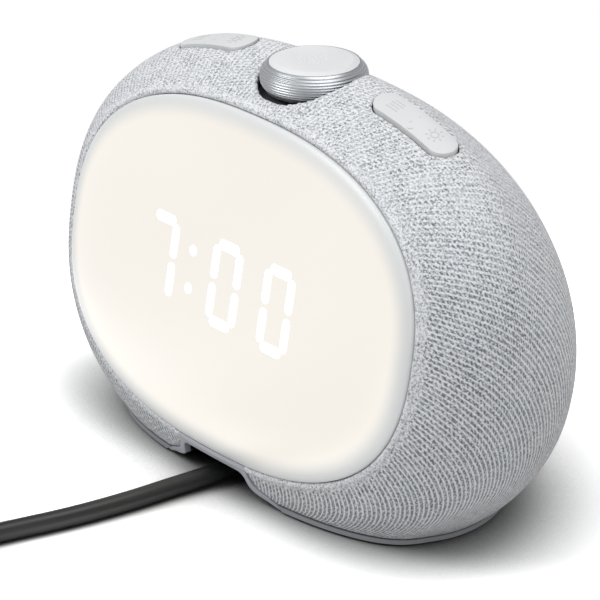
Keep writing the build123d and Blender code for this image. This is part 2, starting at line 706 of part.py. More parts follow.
RING_FOOT = DIAL_TOP_Z - DIAL_HEIGHT
RING_BORE = DIAL_CAP_RADIUS - 1.0
RING_TUCK = 1.0             # the ring narrows this much at its foot
CAP_SEAT = DIAL_TOP_Z - 1.7
CAP_TOP = DIAL_TOP_Z + CAP_RISE
HUB_RADIUS = 5.0
HUB_FOOT = BUSH_TOP + 1.0
SHAFT_TOP = CAP_SEAT - 0.3

with BuildPart() as dial_ring:
    with BuildSketch(Plane.XZ.offset(-CONTROL_Y)):
        with BuildLine():
            Polyline(
                (RING_BORE, RING_FOOT), (DIAL_RADIUS - RING_TUCK, RING_FOOT),
            )
            Spline(
                (DIAL_RADIUS - RING_TUCK, RING_FOOT), (DIAL_RADIUS - RING_TUCK / 5, RING_FOOT + RING_TUCK),
                (DIAL_RADIUS, RING_FOOT + DIAL_HEIGHT * 0.52),
                (DIAL_RADIUS - 0.8, RING_FOOT + DIAL_HEIGHT * 0.82),
                (DIAL_CAP_RADIUS + 0.35, DIAL_TOP_Z),
            )
            Polyline(
                (DIAL_CAP_RADIUS + 0.35, DIAL_TOP_Z), (DIAL_CAP_RADIUS + FIT, DIAL_TOP_Z - 0.15),
                (DIAL_CAP_RADIUS + FIT, CAP_SEAT), (RING_BORE, CAP_SEAT), (RING_BORE, RING_FOOT),
            )
        make_face()
    revolve(axis=Axis((0, CONTROL_Y, 0), (0, 0, 1)))
write(dial_ring.part, "dial_ring")

with BuildPart() as dial_cap:
    with BuildSketch(Plane.XZ.offset(-CONTROL_Y)):
        with BuildLine():
            Polyline(
                (0, CAP_TOP), (DIAL_CAP_RADIUS - 1.7, CAP_TOP), (DIAL_CAP_RADIUS, DIAL_TOP_Z - 0.1),
                (DIAL_CAP_RADIUS, CAP_SEAT), (HUB_RADIUS, CAP_SEAT), (HUB_RADIUS, HUB_FOOT),
                (SHAFT_RADIUS + SHAFT_FIT, HUB_FOOT), (SHAFT_RADIUS + SHAFT_FIT, SHAFT_TOP), (0, SHAFT_TOP),
                (0, CAP_TOP),
            )
        make_face()
    revolve(axis=Axis((0, CONTROL_Y, 0), (0, 0, 1)))
write(dial_cap.part, "dial_cap")

with BuildPart() as encoder_shaft:
    add(disc(0, CONTROL_Y, BOARD_TOP + 2, SHAFT_TOP, SHAFT_RADIUS))
write(encoder_shaft.part, "encoder_shaft")


def pad_height(x):
    """Height of the fabric under a pad, at a distance from the middle of the clock."""
    depth = CONTROL_SET_BACK
    for _ in range(20):
        above = swell_inset(depth, 0, GIRTH_TOP, FACE_HEIGHT / 2 + RIM_WIDEN, TOP_SWELL)
        wide = swell_inset(depth, 0, GIRTH_WIDTH / 2, FACE_WIDTH / 2 + RIM_WIDEN, SIDE_SWELL)
        exponent = section_round(depth, TOP_ROUND)
        y = above * (1 - (abs(x) / wide) ** exponent) ** (1 / exponent) - CENTRE_DROP * depth
        depth = (CONTROL_SET_BACK - y * SIN_TILT) / COS_TILT
    return FACE_CENTRE_Z + y * COS_TILT - depth * SIN_TILT


PIN_Z = pad_height(PAD_X) - PAD_THICK - PIN_RADIUS - 1.6
SWITCH_TOP = BOARD_TOP + SWITCH_HEIGHT
FRAME_HALF = PAD_WIDTH / 2 + FRAME_GROW
PAD_SKIN = body(-PAD_PROUD)
PAD_LINING = body(PAD_THICK - PAD_PROUD)


def cross_pin(x, radius, half_length):
    """Cylinder along Y at a rocker's hinge."""
    with BuildPart() as solid:
        with BuildSketch(Plane.XZ.offset(-CONTROL_Y - half_length)):
            with Locations((x, PIN_Z)):
                Circle(radius)
        extrude(amount=2 * half_length)
    return solid.part


def rocker(x):
    """Button pad that follows the body's surface, with its hinge lug and two stems."""
    with BuildPart() as solid:
        add(pad_prism(x, 0, CONTROL_BOARD_Z, ABOVE))
        add(PAD_SKIN, mode=Mode.INTERSECT)
        add(PAD_LINING, mode=Mode.SUBTRACT)
        with BuildSketch(Plane((x, CONTROL_Y, PIN_Z - PIN_RADIUS - 1.2))):
            RectangleRounded(5, PAD_WIDTH - 1, 1)
        extrude(amount=PAD_THICK + 3.0 + PIN_RADIUS)
        for end in (-1, 1):
            stem_x = x + end * STEM_SPREAD
            stem_top = pad_height(stem_x) - PAD_THICK / 2
            add(disc(stem_x, CONTROL_Y, SWITCH_TOP + SWITCH_GAP, stem_top, STEM_RADIUS))
        add(cross_pin(x, PIN_RADIUS + PIN_FIT, PAD_WIDTH), mode=Mode.SUBTRACT)
    return solid.part


def rocker_frame(x):
    """Frame that lines the pad's opening, stands on the control board and holds the pin."""
    with BuildPart() as solid:
        add(pad_prism(x, FRAME_GROW, BOARD_TOP, ABOVE))
        add(pad_prism(x, PAD_GAP, BOARD_TOP, ABOVE), mode=Mode.SUBTRACT)
        add(FRAME_SKIN, mode=Mode.INTERSECT)
        add(cross_pin(x, PIN_RADIUS, PAD_WIDTH), mode=Mode.SUBTRACT)
    return solid.part


for name, side in (("left", -1), ("right", 1)):
    write(rocker(side * PAD_X), f"{name}_pad")
    write(rocker_frame(side * PAD_X), f"{name}_pad_frame")

with BuildPart() as pad_pins:
    for side in (-1, 1):
        add(cross_pin(side * PAD_X, PIN_RADIUS, FRAME_HALF))
write(pad_pins.part, "pad_pins")

with BuildPart() as push_switches:
    for side in (-1, 1):
        for end in (-1, 1):
            x = side * PAD_X + end * STEM_SPREAD
            with BuildSketch(Plane((x, CONTROL_Y, BOARD_TOP))):
                Rectangle(SWITCH_SIZE, SWITCH_SIZE)
            extrude(amount=SWITCH_HEIGHT - 0.8)
            add(disc(x, CONTROL_Y, BOARD_TOP, SWITCH_TOP, STEM_RADIUS))
write(push_switches.part, "push_switches")

with BuildPart() as control_screws:
    for side in (-1, 1):
        x = side * POST_X
        add(disc(x, CONTROL_Y, CONTROL_BOARD_Z, BOARD_TOP + 3, SCREW_RADIUS - FIT / 2))
        add(disc(x, CONTROL_Y, CONTROL_BOARD_Z - 1.6, CONTROL_BOARD_Z, SCREW_HEAD))
write(control_screws.part, "control_screws")

# ---------------------------------------------------------------- speaker
BASKET_DEPTH = 15.0
MAGNET_RADIUS = 13.0
MAGNET_DEPTH = 8.0
CONE_RADIUS = SPEAKER_RADIUS - 5.6
SURROUND_RADIUS = SPEAKER_RADIUS - 2.0
BOX_LOWER = 24.0            # sloped front of the box, below and above the speaker's middle
BOX_UPPER = 20.0
BOX_FOOT_Z = 50.0
BOX_SET_BACK = 34.0
LEG = 3.0
LEG_SET_BACK = 50.0
LEG_DEPTH = 11.0
SPEAKER_Y = FACE_Y + SPEAKER_SET_BACK
AXIS_Y = math.cos(math.radians(SPEAKER_TILT))
AXIS_Z = math.sin(math.radians(SPEAKER_TILT))
LOW_CORNER = (SPEAKER_Y + BOX_LOWER * AXIS_Z, SPEAKER_Z - BOX_LOWER * AXIS_Y)
HIGH_CORNER = (SPEAKER_Y - BOX_UPPER * AXIS_Z, SPEAKER_Z + BOX_UPPER * AXIS_Y)
BOX_FRONT_Y = FACE_Y + BOX_SET_BACK


def box_prism(inset, half_width):
    """Upright box with a sloped front for the speaker, made smaller all round."""
    corners = (
        (BOX_FRONT_Y + inset, BOX_FOOT_Z + inset), (LOW_CORNER[0] - inset, BOX_FOOT_Z + inset),
        (LOW_CORNER[0] - inset, LOW_CORNER[1] - inset * 0.4),
        (HIGH_CORNER[0] - inset * 0.4, HIGH_CORNER[1] - inset), (BOX_FRONT_Y + inset, HIGH_CORNER[1] - inset),
    )
    with BuildPart() as solid:
        with BuildSketch(Plane.YZ.offset(-half_width)):
            with BuildLine():
                Polyline(*corners, close=True)
            make_face()
        extrude(amount=2 * half_width)
    return solid.part


with BuildPart() as speaker_box:
    add(box_prism(0, SPEAKER_BOX_WIDTH / 2))
    add(box_prism(BOX_WALL, SPEAKER_BOX_WIDTH / 2 - BOX_WALL), mode=Mode.SUBTRACT)
    add(speaker_disc(-10, 10, SPEAKER_RADIUS - 2.5), mode=Mode.SUBTRACT)
    for side in (-1, 1):
        leg_x = side * (SPEAKER_BOX_WIDTH / 2 - LEG / 2)
        with BuildSketch(Plane((leg_x, FACE_Y + LEG_SET_BACK + LEG_DEPTH / 2, TOP_OF_BASE))):
            Rectangle(LEG, LEG_DEPTH)
        extrude(amount=BOX_FOOT_Z - TOP_OF_BASE)
write(speaker_box.part, "speaker_box")


def speaker_round(points):
    """Solid of revolution about the speaker's axis, from (radius, ahead) points."""
    with BuildPart() as solid:
        across = speaker_plane(0)
        with BuildSketch(Plane(origin=across.origin, x_dir=across.x_dir, z_dir=-across.y_dir)):
            with BuildLine():
                Polyline(*points, close=True)
            make_face()
        revolve(axis=Axis(across.origin, across.z_dir))
    return solid.part


NECK = MAGNET_RADIUS - 3.0
with BuildPart() as speaker_basket:
    add(speaker_round((
        (SPEAKER_RADIUS, 0), (SPEAKER_RADIUS, 1.2), (SURROUND_RADIUS, 1.2), (SURROUND_RADIUS, 0.3),
        (SPEAKER_RADIUS - 4.0, 0.3), (NECK + 1.0, -BASKET_DEPTH + 1.2), (7.0, -BASKET_DEPTH + 1.2),
        (7.0, -BASKET_DEPTH), (NECK + 2.0, -BASKET_DEPTH), (SPEAKER_RADIUS - 2.7, 0),
    )))
write(speaker_basket.part, "speaker_basket")

with BuildPart() as speaker_magnet:
    add(speaker_round((
        (0, -BASKET_DEPTH), (MAGNET_RADIUS, -BASKET_DEPTH), (MAGNET_RADIUS, -BASKET_DEPTH - MAGNET_DEPTH),
        (0, -BASKET_DEPTH - MAGNET_DEPTH),
    )))
    fillet(speaker_magnet.edges().filter_by(GeomType.CIRCLE), 0.6)
write(speaker_magnet.part, "speaker_magnet")

with BuildPart() as speaker_cone:
    add(speaker_round((
        (0, -5.2), (3.5, -5.6), (6.0, -7.2), (CONE_RADIUS, -0.4), (CONE_RADIUS, 0.2),
        (CONE_RADIUS + 0.6, 0.2), (CONE_RADIUS + 0.6, -0.6), (6.6, -8.2), (6.0, -BASKET_DEPTH + 0.6),
        (5.2, -BASKET_DEPTH + 0.6), (5.2, -8.0), (0, -6.0),
    )))
write(speaker_cone.part, "speaker_cone")

with BuildPart() as speaker_surround:
    add(speaker_round((
        (CONE_RADIUS + 0.6, 0.2), (CONE_RADIUS + 1.2, 1.4), (SURROUND_RADIUS - 0.8, 1.6),
        (SURROUND_RADIUS, 0.8), (SURROUND_RADIUS, 0.3), (SURROUND_RADIUS - 1.0, 1.0),
        (CONE_RADIUS + 1.4, 0.9), (CONE_RADIUS + 0.6, -0.4),
    )))
write(speaker_surround.part, "speaker_surround")

with BuildPart() as speaker_gasket:
    add(speaker_disc(1.2, 40, SPEAKER_RADIUS))
    add(speaker_disc(0, 41, SPEAKER_RADIUS - 2), mode=Mode.SUBTRACT)
    add(body(INSIDE + FIT), mode=Mode.INTERSECT)
write(speaker_gasket.part, "speaker_gasket")

# ---------------------------------------------------------------- power
POWER_Y = FACE_Y + POWER_BOARD_SET_BACK
POWER_TOP = TOP_OF_BASE + STANDOFF + BOARD
POWER_POSTS = [
    (POWER_BOARD_X + x * (POWER_BOARD / 2 - 3.5), POWER_Y + y * (POWER_BOARD / 2 - 3.5))
    for x in (-1, 1) for y in (-1, 1)
]

with BuildPart() as power_board:
    with BuildSketch(Plane.XY.offset(TOP_OF_BASE + STANDOFF)):
        with Locations((POWER_BOARD_X, POWER_Y)):
            RectangleRounded(POWER_BOARD, POWER_BOARD, 2)
        with Locations(*POWER_POSTS):
            Circle(SCREW_RADIUS + FIT, mode=Mode.SUBTRACT)
    extrude(amount=BOARD)
write(power_board.part, "power_board")

with BuildPart() as transformer:
    with BuildSketch(Plane((POWER_BOARD_X + 2, POWER_Y - 4, POWER_TOP))):
        Rectangle(17, 8)
    extrude(amount=15)
    with BuildSketch(Plane((POWER_BOARD_X + 2, POWER_Y - 4, POWER_TOP + 3))):
        RectangleRounded(13, 15, 2)
    extrude(amount=9)
    with BuildSketch(Plane((POWER_BOARD_X + 2, POWER_Y - 4, POWER_TOP))):
        Rectangle(13, 15)
    extrude(amount=1.5)
write(transformer.part, "transformer")

with BuildPart() as capacitors:
    add(disc(POWER_BOARD_X - 5, POWER_Y + 9, POWER_TOP, POWER_TOP + 14, 4.5))
    add(disc(POWER_BOARD_X + 6, POWER_Y + 10.5, POWER_TOP, POWER_TOP + 11, 4))
    add(disc(POWER_BOARD_X + 13, POWER_Y + 3, POWER_TOP, POWER_TOP + 9, 2.5))
write(capacitors.part, "capacitors")

with BuildPart() as ballast_plate:
    with BuildSketch(Plane.XY.offset(TOP_OF_BASE)):
        with Locations((-POWER_BOARD_X, FACE_Y + BALLAST_SET_BACK)):
            RectangleRounded(BALLAST_SIZE, BALLAST_SIZE, 3)
    extrude(amount=BALLAST_THICK)
    fillet(ballast_plate.edges().group_by(Axis.Z)[-1], 0.8)
write(ballast_plate.part, "ballast_plate")

# ---------------------------------------------------------------- base
FOOT_RADIUS = 6.0
FOOT_SUNK = 1.2
FEET = [(side * x, FACE_Y + set_back) for side in (-1, 1) for x, set_back in ((46.0, 24.0), (30.0, 60.0))]
CHANNEL_FRONT = CHASSIS + 0.3

BAND_PROUD = 0.25           # base edge stands out of the fabric
TRIM_BACK = FACE_Y + 12     # where the arch trim ends inside the body
THROUGH = 200.0             # longer than the clock


with BuildPart() as trim_pocket:
    add(arch_prism(ARCH_TRIM + FIT, ARCH_TRIM_TOP, TRIM_BACK))
    add(CHASSIS_SKIN, mode=Mode.SUBTRACT)

with BuildPart() as inner_plate:
    add(body(CHANNEL_FRONT))
    add(slab(FOOT_HEIGHT + BASE_BAND / 2, TOP_OF_BASE), mode=Mode.INTERSECT)

with BuildPart() as cable_channel:
    with BuildSketch(Plane.XZ.offset(-ARCH_BACK - CHANNEL_END)):
        with Locations((0, FOOT_HEIGHT)):
            Rectangle(2 * (ARCH_HALF_WIDTH + CHANNEL_WALL), ARCH_HEIGHT + CHANNEL_WALL - FOOT_HEIGHT,
                      align=(Align.CENTER, Align.MIN))
    extrude(amount=THROUGH)
    add(body(CHANNEL_FRONT), mode=Mode.INTERSECT)

with BuildPart() as band_top:
    add(body(-BAND_PROUD))
    add(slab(FOOT_HEIGHT + BASE_BAND / 2, FOOT_HEIGHT + BASE_BAND), mode=Mode.INTERSECT)

with BuildPart() as base_plate:
    extrude(band_top.faces().sort_by(Axis.Z)[-1], amount=BASE_BAND, dir=(0, 0, -1))
    add(inner_plate.part)
    add(cable_channel.part)
    with BuildSketch(Plane.XZ.offset(-ARCH_BACK)):
        with Locations((0, -1)):
            Rectangle(2 * ARCH_HALF_WIDTH, ARCH_HEIGHT + 1, align=(Align.CENTER, Align.MIN))
    extrude(amount=THROUGH, mode=Mode.SUBTRACT)
    add(arch_prism(FIT, 0, FACE_Y + 4), mode=Mode.SUBTRACT)
    with Locations(*[(x, y, FOOT_HEIGHT) for x, y in FEET]):
        Cylinder(FOOT_RADIUS + FIT / 2, FOOT_SUNK, align=(Align.CENTER, Align.CENTER, Align.MIN),
                 mode=Mode.SUBTRACT)
    for x, y in BASE_SCREWS:
        add(disc(x, y, 0, TOP_OF_BASE + 1, SCREW_RADIUS + FIT), mode=Mode.SUBTRACT)
        add(disc(x, y, 0, FOOT_HEIGHT + 1.4, SCREW_HEAD + FIT), mode=Mode.SUBTRACT)
    for x, y in POWER_POSTS:
        add(disc(x, y, TOP_OF_BASE - 1, TOP_OF_BASE + STANDOFF, 2.6))
        add(disc(x, y, TOP_OF_BASE, TOP_OF_BASE + STANDOFF + 1, SCREW_RADIUS), mode=Mode.SUBTRACT)
    with BuildSketch(Plane.XZ.offset(-ARCH_BACK - CHANNEL_END)):
        with Locations((0, GLAND_Z)):
            Circle(GLAND_RADIUS + FIT)
    extrude(amount=CHANNEL_END + 1, mode=Mode.SUBTRACT)
    add(trim_pocket.part, mode=Mode.SUBTRACT)
write(base_plate.part, "base_plate")

with BuildPart() as rubber_feet:
    with Locations(*[(x, y, 0) for x, y in FEET]):
        Cylinder(FOOT_RADIUS, FOOT_HEIGHT + FOOT_SUNK, align=(Align.CENTER, Align.CENTER, Align.MIN))
    fillet(rubber_feet.edges().group_by(Axis.Z)[0], 0.4)
write(rubber_feet.part, "rubber_feet")

with BuildPart() as base_screws:
    for x, y in BASE_SCREWS:
        add(disc(x, y, FOOT_HEIGHT + 1.4, TOP_OF_BASE + FLANGE - 1.0, SCREW_RADIUS - FIT / 2))
        add(disc(x, y, FOOT_HEIGHT + 0.1, FOOT_HEIGHT + 1.4, SCREW_HEAD))
write(base_screws.part, "base_screws")

with BuildPart() as power_screws:
    for x, y in POWER_POSTS:
        add(disc(x, y, TOP_OF_BASE + 1, POWER_TOP, SCREW_RADIUS - FIT / 2))
        add(disc(x, y, POWER_TOP, POWER_TOP + 1.6, SCREW_HEAD))
write(power_screws.part, "power_screws")

with BuildPart() as arch_trim:
    add(arch_prism(ARCH_TRIM, ARCH_TRIM_TOP, TRIM_BACK))
    add(arch_prism(0, 0, TRIM_BACK + 1), mode=Mode.SUBTRACT)
    add(body(-TRIM_PROUD), mode=Mode.INTERSECT)
    add(body(CHASSIS - FIT), mode=Mode.SUBTRACT)
    add(face_prism(-LENS_GAP, -20, CHASSIS + 1), mode=Mode.SUBTRACT)
    add(slab(-80, FOOT_HEIGHT), mode=Mode.SUBTRACT)
write(arch_trim.part, "arch_trim")

# ---------------------------------------------------------------- rear ports
PANEL_BACK = REAR_DEPTH - CHASSIS
PANEL_Y = -CENTRE_DROP * REAR_DEPTH


def port_cut(first_depth, last_depth, size, x, round_ends):
    """Rectangular or round-ended cut through the rear panel."""
    with BuildPart() as solid:
        with BuildSketch(behind(last_depth)):
            with Locations((x, PANEL_Y)):
                if round_ends:
                    SlotOverall(*size)
                else:
                    RectangleRounded(*size, 0.8)
        extrude(amount=last_depth - first_depth)
    return solid.part


with BuildPart() as port_panel:
    add(rear_prism(PORT_MARGIN + LENS_GAP, PANEL_BACK, PANEL_BACK + PORT_PANEL))
    add(port_cut(0, THROUGH, (USB_A[0] + FIT, USB_A[1] + FIT), -USB_X, False), mode=Mode.SUBTRACT)
    add(port_cut(0, THROUGH, (USB_C[0] + FIT, USB_C[1] + FIT), USB_X, True), mode=Mode.SUBTRACT)
write(port_panel.part, "port_panel")

USB_FRONT = PANEL_BACK + PORT_PANEL - 0.2
with BuildPart() as usb_a_socket:
    add(port_cut(USB_FRONT - USB_DEPTH, USB_FRONT, USB_A, -USB_X, False))
    add(port_cut(USB_FRONT - USB_DEPTH + 2, USB_FRONT + 1, (USB_A[0] - 1.2, USB_A[1] - 1.2), -USB_X, False),
        mode=Mode.SUBTRACT)
    with BuildSketch(behind(USB_FRONT - 1.0)):
        with Locations((-USB_X, PANEL_Y + 1.2)):
            Rectangle(USB_A[0] - 3, 1.8)
    extrude(amount=USB_DEPTH - 2)
write(usb_a_socket.part, "usb_a_socket")

with BuildPart() as usb_c_socket:
    add(port_cut(USB_FRONT - USB_DEPTH, USB_FRONT, USB_C, USB_X, True))
    add(port_cut(USB_FRONT - USB_DEPTH + 3, USB_FRONT + 1, (USB_C[0] - 0.7, USB_C[1] - 0.7), USB_X, True),
        mode=Mode.SUBTRACT)
    with BuildSketch(behind(USB_FRONT - 0.8)):
        with Locations((USB_X, PANEL_Y)):
            Rectangle(USB_C[0] - 2.5, 0.8)
    extrude(amount=USB_DEPTH - 3)
write(usb_c_socket.part, "usb_c_socket")

PORT_BOARD_DEPTH = USB_FRONT - USB_DEPTH - BOARD
with BuildPart() as port_board:
    with BuildSketch(behind(PORT_BOARD_DEPTH + BOARD)):
        with Locations((0, PANEL_Y)):
            RectangleRounded(46, 16, 1.5)
    extrude(amount=BOARD)
write(port_board.part, "port_board")

# ---------------------------------------------------------------- mains lead
EXIT_Y = ARCH_BACK - RELIEF_LENGTH
ROUTE = (
    (0.0, EXIT_Y, GLAND_Z), (0.0, -33.0, GLAND_Z), (-0.9, -46.5, 3.4), (-2.4, -61.0, CORD_Z),
    (-2.9, -78.0, CORD_Z), (-5.2, -98.0, CORD_Z), (-9.4, -117.0, CORD_Z), (-12.6, -133.5, CORD_Z),
)


def unit(start, end):
    """Direction from one route point to the next."""
    return (Vector(*end) - Vector(*start)).normalized()


def bend_radii(route):
    """As large an arc at each corner as its two runs allow."""
    radii = []
    for before, corner, after in zip(route, route[1:], route[2:]):
        turn = math.radians(unit(before, corner).get_angle(unit(corner, after)))
        shorter = min((Vector(*corner) - Vector(*before)).length, (Vector(*after) - Vector(*corner)).length)
        radii.append(0.45 * shorter / math.tan(turn / 2))
    return radii


RADII = bend_radii(ROUTE)
print("cord bend radii", [round(radius, 1) for radius in RADII])

with BuildPart() as mains_lead:
    with BuildLine() as lead_path:
        FilletPolyline(*ROUTE, radius=RADII)
    with BuildSketch(Plane(origin=ROUTE[0], z_dir=unit(ROUTE[0], ROUTE[1]))):
        Circle(CORD_RADIUS)
    sweep()
lead_length = lead_path.wire().length
print("cord volume over section times length",
      round(mains_lead.part.volume / (math.pi * CORD_RADIUS ** 2 * lead_length), 4), round(lead_length, 1))
write(mains_lead.part, "mains_lead")

with BuildPart() as cord_gland:
    with BuildSketch(Plane.XZ.offset(-EXIT_Y)):
        with Locations((0, GLAND_Z)):
            Circle(CORD_RADIUS + 0.5)
    with BuildSketch(Plane.XZ.offset(-ARCH_BACK)):
        with Locations((0, GLAND_Z)):
            Circle(CORD_RADIUS + 1.6)
    loft()
    with BuildSketch(Plane.XZ.offset(-ARCH_BACK)):
        with Locations((0, GLAND_Z)):
            Circle(GLAND_RADIUS)
    extrude(amount=-CHANNEL_END)
write(cord_gland.part, "cord_gland")

INNER = COIL_RADIUS - COIL_WIDTH / 2
OUTER = COIL_RADIUS + COIL_WIDTH / 2
with BuildPart() as lead_coil:
    with BuildSketch(Plane((COIL_X, COIL_Y, COIL_LIFT))):
        Circle(OUTER)
        Circle(INNER, mode=Mode.SUBTRACT)
    extrude(amount=COIL_HEIGHT)
    fillet(lead_coil.edges().filter_by(GeomType.CIRCLE), CORD_RADIUS - 0.4)
write(lead_coil.part, "lead_coil")

TIE_ANGLE = 200.0
TIE_WIDTH = 7.0
with BuildPart() as cord_tie:
    at = Plane((COIL_X, COIL_Y, 0)).rotated((0, 0, TIE_ANGLE))
    across = Plane(origin=at.origin, x_dir=at.x_dir, z_dir=-at.y_dir)
    loop_z = COIL_LIFT + COIL_HEIGHT / 2
    with BuildSketch(across.offset(-TIE_WIDTH / 2)):
        with Locations((COIL_RADIUS, loop_z)):
            RectangleRounded(COIL_WIDTH + 1.2 + 2 * TIE, COIL_HEIGHT + 1.1, 1.5)
            RectangleRounded(COIL_WIDTH + 1.2, COIL_HEIGHT + 0.2, 1.2, mode=Mode.SUBTRACT)
    extrude(amount=TIE_WIDTH)
write(cord_tie.part, "cord_tie")

PLUG_X = COIL_X - 10.0
PLUG_Y = COIL_Y - COIL_RADIUS + 1.0
PLUG_Z = COIL_LIFT + COIL_HEIGHT + PLUG_HEIGHT / 2
PLUG_FACE = PLUG_X - PLUG_LENGTH / 2    # the face that the pins stand out of


def plug_pins_round(start, length, radius):
    """Two cylinders along the plug's pins, from a place on X."""
    with BuildPart() as solid:
        for side in (-1, 1):
            with BuildSketch(Plane.YZ.offset(start)):
                with Locations((PLUG_Y + side * PLUG_PIN_SPREAD / 2, PLUG_Z)):
                    Circle(radius)
            extrude(amount=length)
    return solid.part


with BuildPart() as plug_body:
    for along, width, height, corner in (
        (0, PLUG_WIDTH, PLUG_HEIGHT, 4), (PLUG_LENGTH - PLUG_TAPER, PLUG_WIDTH - 2, PLUG_HEIGHT, 4),
        (PLUG_LENGTH, PLUG_WIDTH - 13, PLUG_HEIGHT - 3, 3),
    ):
        with BuildSketch(Plane.YZ.offset(PLUG_FACE + along)):
            with Locations((PLUG_Y, PLUG_Z)):
                RectangleRounded(width, height, corner)
    loft(ruled=True)
    add(plug_pins_round(PLUG_FACE, PLUG_ROOT, PLUG_ROOT_RADIUS), mode=Mode.SUBTRACT)
write(plug_body.part, "plug_body")

with BuildPart() as plug_pins:
    add(plug_pins_round(PLUG_FACE - PLUG_PIN_LENGTH, PLUG_PIN_LENGTH, PLUG_PIN_RADIUS))
    add(plug_pins_round(PLUG_FACE, PLUG_ROOT, PLUG_ROOT_RADIUS))
write(plug_pins.part, "plug_pins")
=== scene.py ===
import math

import bmesh
import bpy
import numpy as np
from bpy.props import FloatProperty, FloatVectorProperty, IntProperty, PointerProperty
from mathutils import Matrix, Vector
from mathutils.bvhtree import BVHTree


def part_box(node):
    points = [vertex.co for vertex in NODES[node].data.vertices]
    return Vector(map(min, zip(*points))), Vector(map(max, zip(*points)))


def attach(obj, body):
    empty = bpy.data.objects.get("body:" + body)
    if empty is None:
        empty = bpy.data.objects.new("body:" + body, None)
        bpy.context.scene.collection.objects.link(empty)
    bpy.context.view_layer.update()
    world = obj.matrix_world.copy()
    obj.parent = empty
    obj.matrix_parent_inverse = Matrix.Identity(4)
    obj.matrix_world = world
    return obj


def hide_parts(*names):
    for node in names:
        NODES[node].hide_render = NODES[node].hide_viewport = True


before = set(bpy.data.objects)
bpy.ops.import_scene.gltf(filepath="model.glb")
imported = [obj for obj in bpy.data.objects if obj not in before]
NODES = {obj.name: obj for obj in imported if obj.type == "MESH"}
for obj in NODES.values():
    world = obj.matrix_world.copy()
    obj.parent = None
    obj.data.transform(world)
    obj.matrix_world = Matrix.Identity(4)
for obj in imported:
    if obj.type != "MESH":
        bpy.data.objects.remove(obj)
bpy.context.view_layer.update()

bl_info = {
    "name": "Sunrise Alarm Clock",
    "version": (1, 0, 0),
    "blender": (4, 5, 0),
    "location": "3D View > Sidebar > Clock",
    "description": "Dresses the frame of a bedside light-up alarm clock",
    "category": "Object",
}

MM = 0.001

# The lit face leans back from the floor, and everything on it is placed from its centre.
FACE_TILT = math.radians(10.1)
FACE_MIDDLE_HEIGHT = 63.6 * MM
CONTROL_SET_BACK = 30.3 * MM  # dial and pads, behind the middle of the face
DIAL_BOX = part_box("dial_ring")
CONTROL_Y = (DIAL_BOX[0][1] + DIAL_BOX[1][1]) / 2
FACE_Y = CONTROL_Y - CONTROL_SET_BACK
FACE_CENTRE = Vector((0, FACE_Y, FACE_MIDDLE_HEIGHT))
FACE_UP = Vector((0, math.sin(FACE_TILT), math.cos(FACE_TILT)))
FACE_OUT = Vector((0, -math.cos(FACE_TILT), math.sin(FACE_TILT)))
FACE_WIDTH_MM, FACE_HEIGHT_MM = 160.0, 103.6
FACE_ROUND = 2.45  # power of the outline: 2 is an ellipse, more is squarer
FACE_POINTS = 192  # points round the outline

PATCH_OF_TONE_MM = 1000 / 60  # size of the slight changes of tone in a moulding
NOISE_SPAN = {"From Min": 0.3, "From Max": 0.7}  # nearly all of a noise texture's values lie in it
MULTIPLY = {"operation": "MULTIPLY"}
GRAIN_STRENGTH = 0.6
SMOOTHER, ROUGHER = 0.9, 1.12  # how far a finish's roughness changes from place to place
WELD_MM = 0.002  # corners nearer than this are joined before rounding
EDGE_STEPS, EDGE_FROM = 3, math.radians(35)  # of a rounded edge: its steps, and the least turn it rounds
ON_AXIS_MM = 1e-6  # a point nearer to the axis of a turned piece lies on it


# -------------------------------- helpers
def linear(hex_colour):
    """Linear RGBA of an sRGB hex colour."""
    channels = [int(hex_colour[i:i + 2], 16) / 255 for i in (1, 3, 5)]
    return [c / 12.92 if c <= 0.04045 else ((c + 0.055) / 1.055) ** 2.4 for c in channels] + [1.0]


def add_node(tree, kind, settings=None, inputs=None):
    """Adds a node, sets its properties, and sets or links its inputs by name or number."""
    node = tree.nodes.new(kind)
    for key, value in (settings or {}).items():
        setattr(node, key, value)
    for key, value in (inputs or {}).items():
        if isinstance(value, bpy.types.NodeSocket):
            tree.links.new(value, node.inputs[key])
        else:
            node.inputs[key].default_value = value
    return node


def finish(name, colour, roughness, **sockets):
    """New material of one shader, with its tree and shader, ready for its pattern."""
    material = bpy.data.materials.new(name)
    material.use_nodes = True
    tree = material.node_tree
    shader = tree.nodes["Principled BSDF"]
    shader.inputs["Base Color"].default_value = linear(colour)
    shader.inputs["Roughness"].default_value = roughness
    for key, value in sockets.items():
        shader.inputs[key.replace("_", " ")].default_value = value
    return material, tree, shader


